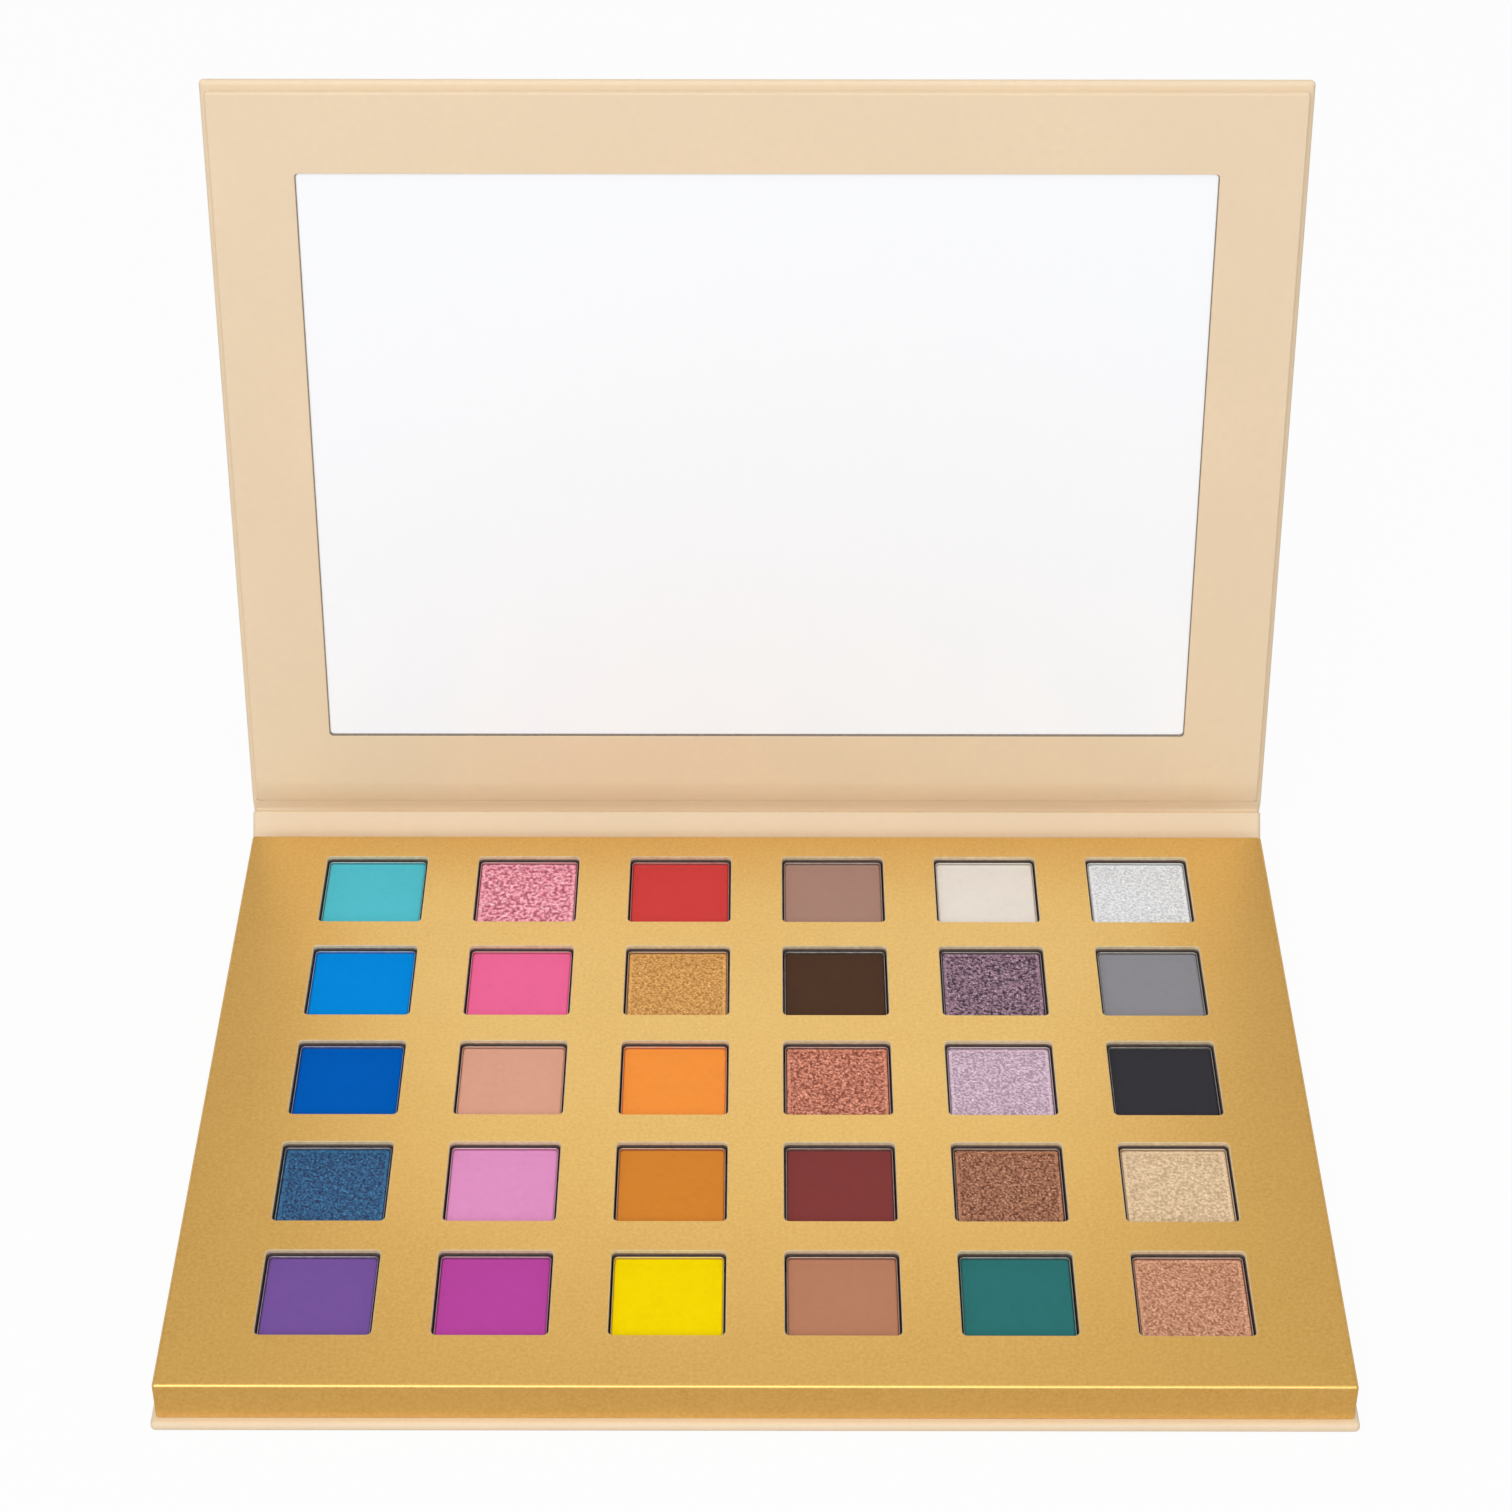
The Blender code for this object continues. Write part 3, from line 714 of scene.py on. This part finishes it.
def makeFrameBoard():  # the board round the mirror, with holes for the magnets
    half, foot, top = frameBoard["half"], frameBoard["foot"], frameBoard["top"]
    low, high = frameBoard["low"], frameBoard["high"]
    inner, over = frameBoard["openHalf"], frameBoard["overcut"]
    piece = newCube("mirrorFrame", (-half, low, foot), (half, high, top))
    startEdit(piece)
    pickEdges(piece, lambda a, b: abs(a.z - b.z) > 1)
    roundEdges(frameBoard["corner"], steps=4)
    endEdit()
    cutters = [newCube("opening", (-inner, frameBoard["openLow"], foot - over),
                       (inner, frameBoard["openHigh"], top + over))]
    for x in (-frameBoard["magnetX"], frameBoard["magnetX"]):
        clearSelection()
        bpy.ops.mesh.primitive_cylinder_add(
            vertices=frameBoard["holeSides"], radius=frameBoard["hole"] * mm,
            depth=frameBoard["holeDepth"] * mm,
            location=Vector((x, frameBoard["magnetY"], (foot + top) / 2)) * mm)
        cutters.append(bpy.context.object)
    for cutter in cutters:
        useModifier(piece, "BOOLEAN", operation="DIFFERENCE", solver="EXACT", object=cutter)
        bpy.data.objects.remove(cutter)
    startEdit(piece)
    selectAll()
    bpy.ops.mesh.bisect(plane_co=(0, frameBoard["footFrom"] * mm, 0), plane_no=(0, 1, 0))
    reach = low + frameBoard["corner"] + near
    pickPoints(piece, lambda place: place.y < reach and place.z > top - near)
    bpy.ops.transform.translate(value=(0, 0, -frameBoard["footDrop"] * mm))
    endEdit()
    smoothShade(piece, angle=30)
    return piece


mirrorFrame = makeFrameBoard()
seat(mirrorFrame, stance["lid"], folds["lid_fold"])
finish(mirrorFrame, [plain["greyBoard"]], ["mirror_frame"])
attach(mirrorFrame, "lid")

lidLiner = makeLiner()
seat(lidLiner, stance["lid"], folds["lid_fold"])
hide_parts("lid_liner")
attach(lidLiner, "lid")
print("lid liner folded")


# linings and fold papers, bent across the two folds

foldPaper = {
    "paper": 0.22, "steps": 10, "endSteps": 5, "endBulge": 1.0,
    "baseFlap": {"low": 0.92, "dip": (-0.63, 0.05), "high": 0.65},  # heights on either panel
    "lidFlap": {"low": 0.4, "dip": (-0.55, 0.62), "high": 0.95},
}
lining = {
    "half": 115.25, "top": 1.4, "crown": 0.5, "lean": 0.08, "across": 24,
    "valley": (0.2, 0.35), "sag": (0.03, -0.05), "lidStart": (1.25, 1.32), "lidEnd": (2.42, 1.72),
    "creaseFrom": 0.1, "creaseTop": 0.8, "endRise": 0.3, "endFrom": 98.0,
    "baseTuck": (-0.8, 0.08), "baseStart": 0.06, "baseDip": (0.6, -0.75),
}


def turned(angle, along, up, origin=(0.0, 0.0)):  # a panel's own (y, z) seen from the one before it
    c, s = math.cos(math.radians(angle)), math.sin(math.radians(angle))
    return origin[0] + along * c - up * s, origin[1] + along * s + up * c


def curve(first, handle, last, steps):  # points along a bend, with one handle
    points = []
    for i in range(steps + 1):
        t = i / steps
        points.append(tuple((1 - t) ** 2 * a + 2 * t * (1 - t) * h + t * t * b
                            for a, h, b in zip(first, handle, last)))
    return points


def makeOuterFold(name, angle, turnIn):  # the wrap's paper where it bends, turned in at its ends
    gap, thick, steps = panel["gap"], panel["thick"], foldPaper["steps"]
    handle = (thick * math.tan(math.radians(angle / 2)), -thick)
    end = panel["half"] - panel["round"]
    bend = curve((-gap, -thick), handle, turned(angle, gap, -thick), steps)
    piece = newStrip(name, end, bend)
    flapHalf = (panel["turnIn"] - panel["round"]) / 2
    inner = curve((-gap, turnIn["low"]), turnIn["dip"], turned(angle, gap, turnIn["high"]), steps)
    flap = newStrip("turnIn", flapHalf, inner)
    endEdit()
    flaps = [copyOf(flap, "turnIn", (side * (end - flapHalf), 0)) for side in (-1, 1)]
    bpy.data.objects.remove(flap)
    activate(piece)
    for flap in flaps:
        flap.select_set(True)
    bpy.ops.object.join()
    startEdit(piece)
    for side in (-1, 1):
        pickEdges(piece, lambda a, b: both(a, b, 0, side * end))
        bpy.ops.mesh.bridge_edge_loops(number_cuts=foldPaper["endSteps"], interpolation="SURFACE",
                                       smoothness=foldPaper["endBulge"])
    faceOut()
    endEdit()
    thicken(piece, foldPaper["paper"])
    smoothShade(piece, angle=40, flat=False)
    return piece


def finishLining(piece):
    endEdit()
    thicken(piece, foldPaper["paper"])
    smoothShade(piece, angle=50, flat=False)


def makeSpineLining():  # over the spine, into the valley and up to the lid's liner
    top, crown = lining["top"], lining["crown"]
    rise = stance["lid"] - stance["spine"]
    hinge = (spineRun, 0.0)
    bottom, end = panel["gap"], spineRun - panel["gap"]
    profile = curve((bottom, top - crown), (bottom, top), (bottom + crown, top), steps=5)
    over = (end + lining["lean"], top - crown)
    profile += curve((end - crown, top), (end, top), over, steps=6)
    valley = (end + lining["valley"][0], lining["valley"][1])
    foot = turned(rise, *lining["lidStart"], hinge)
    middle = [(a + b) / 2 + sag for a, b, sag in zip(valley, foot, lining["sag"])]
    profile += curve(valley, middle, foot, steps=6)
    profile += [turned(rise, *lining["lidEnd"], hinge)]
    piece = newStrip("spineLining", lining["half"], profile)
    faceUp(piece)
    pickEdges(piece, lambda a, b: abs(a.x - b.x) > 1)
    bpy.ops.mesh.subdivide(number_cuts=lining["across"])

    def creaseEnd(place):  # the crease is flatter at its ends
        inCrease = place.y > end + lining["creaseFrom"] and place.z < lining["creaseTop"]
        return inCrease and abs(place.x) > lining["endFrom"]

    pickPoints(piece, creaseEnd)
    bpy.ops.transform.translate(value=(0, 0, lining["endRise"] * mm))
    finishLining(piece)
    return piece


def makeBaseLining():  # the same sheet where it runs from the base panel up to the spine
    gap, thick = panel["gap"], panel["thick"]
    tuck, dip = lining["baseTuck"], lining["baseDip"]
    start = (-gap, thick + lining["baseStart"])
    last = turned(stance["spine"], gap, lining["top"] - lining["crown"])
    profile = [(-gap + tuck[0], thick + tuck[1])]
    profile += curve(start, (-gap + dip[0], thick + dip[1]), last, steps=8)
    piece = newStrip("baseLining", lining["half"], profile)
    faceUp(piece)
    finishLining(piece)
    return piece


baseFold = makeOuterFold("baseFold", stance["spine"], foldPaper["baseFlap"])
seat(baseFold, 0, folds["spine_fold"])
finish(baseFold, [creamPaper], ["base_fold_paper"])
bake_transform(baseFold)

baseLining = makeBaseLining()
seat(baseLining, 0, folds["spine_fold"])
finish(baseLining, [creamPaper], ["base_fold_paper"])
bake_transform(baseLining)

lidFold = makeOuterFold("lidFold", stance["lid"] - stance["spine"], foldPaper["lidFlap"])
seat(lidFold, stance["spine"], folds["lid_fold"])
finish(lidFold, [creamPaper], ["lid_fold_paper"])
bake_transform(lidFold)

spineLining = makeSpineLining()
seat(spineLining, stance["spine"], folds["spine_fold"])
finish(spineLining, [creamPaper], ["spine_liner", "lid_fold_paper"])
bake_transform(spineLining)
print("folds lined")


# tray cover: one window tile, repeated, then its rim folded down

trayLow, trayHigh = (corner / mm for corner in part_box("tray_cover"))
tray = {
    "across": 6, "rows": 5, "pitchX": 34.3, "pitchY": 31.2, "firstX": -85.75, "firstY": -59.05,
    "window": 22.8, "corner": 1.0, "chamfer": 0.16, "pale": 0.8, "card": 1.2, "fold": 0.6,
}


def makeWindowTile():  # the card round one pan, with the cut edge of its window and painted shade low on its walls
    top, under = trayHigh.z, trayHigh.z - tray["card"]
    x, y = tray["firstX"], tray["firstY"]
    wide, deep = tray["pitchX"] / 2, tray["pitchY"] / 2
    low, high = (x - wide, y - deep), (x + wide, y + deep)
    chamfer, pale = tray["chamfer"], tray["pale"]
    half = tray["window"] / 2
    reach = half + chamfer
    piece = newPlate("trayCover", low, high, top)
    selectNone()
    addOutline((x - reach, y - reach), (x + reach, y + reach), top)
    roundCorners(tray["corner"] + chamfer, steps=6)
    bridgeOutlines(piece)

    def inWindow(place):
        return max(abs(place.x - x), abs(place.y - y)) < reach + near

    pickEdges(piece, lambda a, b: inWindow(a) and inWindow(b))
    pull(z=-chamfer)
    stretch(half / reach, half / reach, (x, y, top - chamfer))
    pull(z=chamfer - pale)
    pull(z=pale - tray["card"])
    selectNone()
    bpy.ops.mesh.select_mode(type="FACE")
    addOutline(low, high, under)
    bpy.ops.mesh.delete(type="ONLY_FACE")
    pickEdges(piece, lambda a, b: both(a, b, 2, under))
    bpy.ops.mesh.bridge_edge_loops()
    faceOut()
    addMaterials(piece, goldCard, plain["cutCard"], plain["darkCore"])
    assignFaces(piece, 1, lambda place, normal: place.z < top - near)
    # painted shade on the lower part of the window walls
    assignFaces(piece, 2, lambda place, normal: place.z < top - pale - near and abs(normal.z) < 0.5)
    endEdit()
    return piece, low


def makeTrayCover():
    piece, (left, front) = makeWindowTile()
    wide, deep = tray["pitchX"] * tray["across"], tray["pitchY"] * tray["rows"]
    top, under = trayHigh.z, trayHigh.z - tray["card"]
    repeats = (((tray["pitchX"], 0, 0), tray["across"]), ((0, tray["pitchY"], 0), tray["rows"]))
    for step, count in repeats:
        useModifier(piece, "ARRAY", count=count, use_relative_offset=False,
                    use_constant_offset=True, constant_offset_displace=Vector(step) * mm,
                    use_merge_vertices=True, merge_threshold=near * mm)
    startEdit(piece)
    selectAll()
    bpy.ops.mesh.remove_doubles(threshold=near * mm)
    sides = (  # axis, where the tiles end, where the rim is, and which way is in
        (0, left, trayLow.x, 1), (0, left + wide, trayHigh.x, -1),
        (1, front, trayLow.y, 1), (1, front + deep, trayHigh.y, -1),
    )
    for level, inset in ((top, 0.0), (under, tray["card"])):
        for axis, place, rim, inward in sides:
            pickEdges(piece, lambda a, b: both(a, b, 2, level) and both(a, b, axis, place))
            move = [0, 0]
            move[axis] = rim + inward * inset - place
            pull(*move)

        def onRim(a, b):
            return both(a, b, 2, level) and any(both(a, b, axis, rim + inward * inset)
                                                for axis, place, rim, inward in sides)

        pickEdges(piece, onRim)
        pull(z=trayLow.z - level)
    pickEdges(piece, lambda a, b: both(a, b, 2, trayLow.z))
    bpy.ops.mesh.bridge_edge_loops()
    faceOut()

    def outerFold(a, b):
        along = [both(a, b, axis, rim) for axis, place, rim, inward in sides]
        return any(along) and both(a, b, 2, top) or sum(along) == 2

    pickEdges(piece, outerFold)
    roundEdges(tray["fold"], steps=5)
    endEdit()
    smoothShade(piece, angle=28)
    return piece


trayCover = makeTrayCover()
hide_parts("tray_cover")
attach(trayCover, "base")
print("tray cover made, faces:", len(trayCover.data.polygons))


# pans: a square tin, and the cake of powder pressed into it

tin = {
    "side": 22.0, "foot": 21.6, "corner": 0.9, "rim": 0.22, "sheet": 0.3, "low": 5.3, "top": 9.7,
    "lip": 0.1,
}
cake = {
    "side": 21.52, "corner": 0.64, "low": 5.62, "ridge": 9.38, "round": 0.36, "border": 0.42,
    "slope": 0.2, "mattePress": 0.14, "shimmerPress": 0.05, "matteGrid": 1.6, "shimmerGrid": 0.18,
}

# a shade with a spread is a shimmer: its spread, in steps of 255, is the painted highlight on the
# skin's high places and the painted shade in its low ones; relief and size are those of its skin,
# in mm
shades = {
    "turquoise": {"colour": "#52bbc9"},
    "candy_pink": {"colour": "#d97a8e", "spread": 46, "relief": 0.34, "size": 0.82, "glints": 0.2},
    "red": {"colour": "#ca403e"},
    "taupe": {"colour": "#a48072"},
    "ivory": {"colour": "#e1d9cf"},
    "silver": {"colour": "#d7dbe2", "spread": 18, "relief": 0.24, "size": 0.55, "glints": 0.2},
    "azure": {"colour": "#0286da"},
    "hot_pink": {"colour": "#e86695"},
    "gold": {"colour": "#c38b40", "spread": 27, "relief": 0.25, "size": 0.46, "glints": 0.14},
    "espresso": {"colour": "#4c3528"},
    "plum": {"colour": "#5f3e54", "spread": 56, "relief": 0.28, "size": 0.5, "glints": 0.16},
    "grey": {"colour": "#8a898e"},
    "royal_blue": {"colour": "#0059b4"},
    "peach": {"colour": "#d89f88"},
    "orange": {"colour": "#f1913e"},
    "copper": {"colour": "#aa5d44", "spread": 44, "relief": 0.28, "size": 0.5, "glints": 0.16},
    "lilac": {"colour": "#bda3b7", "spread": 29, "relief": 0.27, "size": 0.48, "glints": 0.16},
    "charcoal": {"colour": "#36353a"},
    "navy": {"colour": "#054678", "spread": 32, "relief": 0.25, "size": 0.46, "glints": 0.16},
    "orchid": {"colour": "#de91c2"},
    "ochre": {"colour": "#d18230"},
    "burgundy": {"colour": "#803c3a"},
    "bronze": {"colour": "#885033", "spread": 42, "relief": 0.27, "size": 0.46, "glints": 0.16},
    "champagne": {"colour": "#d8bc99", "spread": 19, "relief": 0.22, "size": 0.53, "glints": 0.16},
    "violet": {"colour": "#75539b"},
    "magenta": {"colour": "#b6459d"},
    "yellow": {"colour": "#f3d502"},
    "tan": {"colour": "#b77e61"},
    "teal": {"colour": "#2e7170"},
    "rose_gold": {"colour": "#ba8265", "spread": 30, "relief": 0.25, "size": 0.46, "glints": 0.2},
}


def makeTin():
    half, top = tin["side"] / 2, tin["top"]
    taper = tin["foot"] / tin["side"]
    piece = newCube("tinBlank", (-half, -half, tin["low"]), (half, half, top))
    startEdit(piece)
    pickEdges(piece, lambda a, b: abs(a.z - b.z) > 1)
    roundEdges(tin["corner"], steps=5)
    pickFaces(piece, lambda place, normal: normal.z < -0.9)
    stretch(taper, taper, (0, 0, tin["low"]))
    pickFaces(piece, lambda place, normal: normal.z > 0.9)
    bpy.ops.mesh.inset(thickness=tin["rim"] * mm)
    pull(z=tin["low"] + tin["sheet"] - top)
    pickEdges(piece, lambda a, b: both(a, b, 2, top))
    roundEdges(tin["lip"], steps=3)
    endEdit()
    smoothShade(piece, angle=40)
    return piece


def makeCake(name, grid, press):  # grid is how far apart the surface is cut, in mm
    half, top, bend = cake["side"] / 2, cake["ridge"], cake["round"]
    levels = [(half, top - bend)]
    for angle in (22.5, 45, 67.5, 90):  # a rounded shoulder
        out, up = math.cos(math.radians(angle)), math.sin(math.radians(angle))
        levels.append((half - bend * (1 - out), top - bend * (1 - up)))
    inner = half - bend - cake["border"]
    levels += [(inner, top), (inner - cake["slope"], top - press)]
    piece = newPlate(name, (-half, -half), (half, half), cake["low"])
    roundCorners(cake["corner"], steps=5)
    bpy.ops.mesh.select_mode(type="FACE")
    selectAll()
    size, height = half, cake["low"]
    for nextSize, nextHeight in levels:
        pull(z=nextHeight - height)
        stretch(nextSize / size, nextSize / size, (0, 0, nextHeight))
        size, height = nextSize, nextHeight
    faceOut()
    pickFaces(piece, lambda place, normal: place.z < top - bend + near)
    bpy.ops.mesh.hide()  # only the top is cut into a grid
    cuts = int(cake["side"] / grid)
    for axis in ((1, 0, 0), (0, 1, 0)):
        for i in range(1, cuts):
            spot = (-half + cake["side"] * i / cuts) * mm
            selectAll()
            bpy.ops.mesh.bisect(plane_co=[spot * part for part in axis], plane_no=axis)
    bpy.ops.mesh.reveal(select=False)
    pickPoints(piece, lambda place: place.z > top - press - near)
    bpy.ops.object.vertex_group_assign_new()
    endEdit()
    smoothShade(piece, angle=40)
    return piece


def crinkle(piece, shade):  # the uneven skin of a shimmer, pushed out of the surface
    skin = bpy.data.textures.new(piece.name + "Skin", "CLOUDS")
    skin.noise_scale = shade["size"] * mm
    skin.noise_depth = 1
    useModifier(piece, "DISPLACE", texture=skin, texture_coords="GLOBAL", direction="Z",
                strength=shade["relief"] * mm, mid_level=0.5,
                vertex_group=piece.vertex_groups[0].name)


tinBlank = makeTin()
matteBlank = makeCake("matteBlank", cake["matteGrid"], cake["mattePress"])
shimmerBlank = makeCake("shimmerBlank", cake["shimmerGrid"], cake["shimmerPress"])
for shadeName, shade in shades.items():
    node = "pan_" + shadeName
    low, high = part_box(node)
    place = ((low + high) / 2) / mm
    words = shadeName.split("_")
    label = words[0] + "".join(word.capitalize() for word in words[1:])
    panTin = copyOf(tinBlank, label + "Tin", place)
    addMaterials(panTin, tinMaterial(label + "Steel", shade["colour"], tinLook))
    if "spread" in shade:
        panCake = copyOf(shimmerBlank, label + "Cake", place)
        crinkle(panCake, shade)
        smoothShade(panCake, angle=60, flat=False)
        addMaterials(panCake, shimmerMaterial(label + "Shimmer", shade, shimmerLook))
    else:
        panCake = copyOf(matteBlank, label + "Cake", place)
        addMaterials(panCake, matteMaterial(label + "Matte", shade["colour"], powderLook))
    for piece in (panTin, panCake):
        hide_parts(node)
        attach(piece, "base")
for blank in (tinBlank, matteBlank, shimmerBlank):
    bpy.data.objects.remove(blank)
print("pans filled:", len(shades))


# solids that stay as they are, most of them inside the boards

inside = {
    "base_board": plain["greyBoard"], "spine_board": plain["greyBoard"],
    "lid_board": plain["greyBoard"], "tray_floor": plain["greyBoard"],
    "pan_grid": plain["blackFoam"], "mirror_tape": plain["whiteTape"], "mirror": mirrorGlass,
    "tray_magnet_left": plain["magnetSteel"], "tray_magnet_right": plain["magnetSteel"],
    "lid_magnet_left": plain["magnetSteel"], "lid_magnet_right": plain["magnetSteel"],
}
for name, material in inside.items():
    solid = frame["nodes"][name]
    solid.data.materials.clear()
    solid.data.materials.append(material)
print("solids finished:", len(inside))


# floor, light and camera

white = (1, 1, 1, 1)
studio = {
    "sky": 0.5, "ceiling": "#a88d5c", "flank": "#745420", "overhead": "#ffefc4",
    "ceilingRise": (0.15, 0.6), "flankReach": (0.02, 0.22), "overheadRise": (0.70, 0.80),
    "floor": "#dedede", "warmFloor": "#cdb489", "floorSize": 8.0, "floorDrop": 0.2,
    "floorWhite": 0.95, "floorGloss": 0.9,
}
lamps = {  # the top lamp isn't in reflections, where it would wash out the gold
    "keyLamp": {"place": (-0.20, -1.18, 1.14), "aim": (0, 0.0, 0.05), "size": (1.5, 1.2),
                "watts": 14.8, "inGloss": True},
    "topLamp": {"place": (0.0, 0.10, 1.20), "aim": (0, 0.0, 0.0), "size": (0.9, 0.7),
                "watts": 2.5, "inGloss": False},
}


def addLamp(name, look):
    data = bpy.data.lights.new(name, "AREA")
    data.shape = "RECTANGLE"
    data.size, data.size_y = look["size"]
    data.energy = look["watts"]
    lamp = bpy.data.objects.new(name, data)
    bpy.context.scene.collection.objects.link(lamp)
    lamp.location = look["place"]
    aim = Vector(look["aim"]) - Vector(look["place"])
    lamp.rotation_euler = aim.to_track_quat("-Z", "Y").to_euler()
    lamp.visible_camera = False
    lamp.visible_glossy = look["inGloss"]


def seenRays(tree, x, y, plainly, gloss):  # how much white the camera, glass and glossy rays meet
    path = addNode(tree, "ShaderNodeLightPath", x, y).outputs
    camera, glass = path["Is Camera Ray"], path["Is Transmission Ray"]
    straight = reckoned(tree, "MAXIMUM", x + 200, y, camera, glass)
    share = reckoned(tree, "MULTIPLY", x + 400, y, straight, plainly)
    return reckoned(tree, "MULTIPLY_ADD", x + 600, y, path["Is Glossy Ray"], gloss, share)


def joinShaders(tree, mask, x, first, second, kind):  # a mask between two shaders, to the output
    mix = addNode(tree, "ShaderNodeMixShader", x, 0)
    setInputs(tree, mix, {0: mask, 1: first.outputs[0], 2: second.outputs[0]})
    setInputs(tree, addNode(tree, kind, x + 250, 0), {"Surface": mix.outputs[0]})


def makeWorld():
    world = bpy.data.worlds.new("studio")
    bpy.context.scene.world = world
    world.use_nodes = True
    tree = world.node_tree
    tree.nodes.clear()
    coords = addNode(tree, "ShaderNodeTexCoord", -900, -200)
    split = addNode(tree, "ShaderNodeSeparateXYZ", -700, -200)
    setInputs(tree, split, {0: coords.outputs["Generated"]})
    across, up = split.outputs[0], split.outputs[2]
    aside = reckoned(tree, "ABSOLUTE", -650, -650, across)
    flanks = mapped(tree, aside, -450, -650, studio["flankReach"])  # darker to the left and right
    ceiling = mixed(tree, flanks, -250, -650, paint(studio["ceiling"]), paint(studio["flank"]))
    fade = mapped(tree, up, -500, -200, studio["ceilingRise"])  # white low down, dimmer above
    sweep = mixed(tree, fade, -250, -200, white, ceiling)
    climb = mapped(tree, up, -500, -450, studio["overheadRise"])  # and lighter again overhead
    lit = addNode(tree, "ShaderNodeBackground", 0, 100)
    setInputs(tree, lit, {"Color": white, "Strength": studio["sky"]})
    seen = addNode(tree, "ShaderNodeBackground", 100, -100)
    setInputs(tree, seen, {
        "Color": mixed(tree, climb, -100, -350, sweep, paint(studio["overhead"])), "Strength": 1.0})
    joinShaders(tree, seenRays(tree, -900, 300, 1.0, 1.0), 300, lit, seen, "ShaderNodeOutputWorld")


def makeFloor():
    clearSelection()
    place = (0, 0, -studio["floorDrop"] * mm)
    bpy.ops.mesh.primitive_plane_add(size=studio["floorSize"], location=place)
    floor = bpy.context.object
    floor.name = floor.data.name = "floor"
    bpy.ops.object.transform_apply(location=True, rotation=False, scale=False)
    material = bpy.data.materials.new("paleFloor")
    material.use_nodes = True
    tree = material.node_tree
    tree.nodes.clear()
    matte = addNode(tree, "ShaderNodeBsdfDiffuse", 0, 100)
    setInputs(tree, matte, {"Color": paint(studio["floor"])})
    path = addNode(tree, "ShaderNodeLightPath", -500, -200)
    tone = mixed(tree, path.outputs["Is Glossy Ray"], -250, -200,
                 white, paint(studio["warmFloor"]))  # warmer where it is reflected
    glow = addNode(tree, "ShaderNodeEmission", 0, -100)
    setInputs(tree, glow, {"Color": tone, "Strength": 1.0})
    rays = seenRays(tree, -700, 300, studio["floorWhite"], studio["floorGloss"])
    joinShaders(tree, rays, 300, matte, glow, "ShaderNodeOutputMaterial")
    addMaterials(floor, material)


view = {
    "lens": 84.54, "sensor": 36.0, "place": (0.00112, -0.5504, 0.5148), "tilt": 52.87,
    "turn": 0.1145,
}


def makeCamera():
    data = bpy.data.cameras.new("camera")
    data.lens = view["lens"]
    data.sensor_width = view["sensor"]
    camera = bpy.data.objects.new("camera", data)
    bpy.context.scene.collection.objects.link(camera)
    camera.location = view["place"]
    camera.rotation_euler = (math.radians(view["tilt"]), 0, math.radians(view["turn"]))
    bpy.context.scene.camera = camera


makeWorld()
makeFloor()
for lampName, look in lamps.items():
    addLamp(lampName, look)
makeCamera()
bpy.context.scene.view_settings.view_transform = "Standard"
print("studio set")
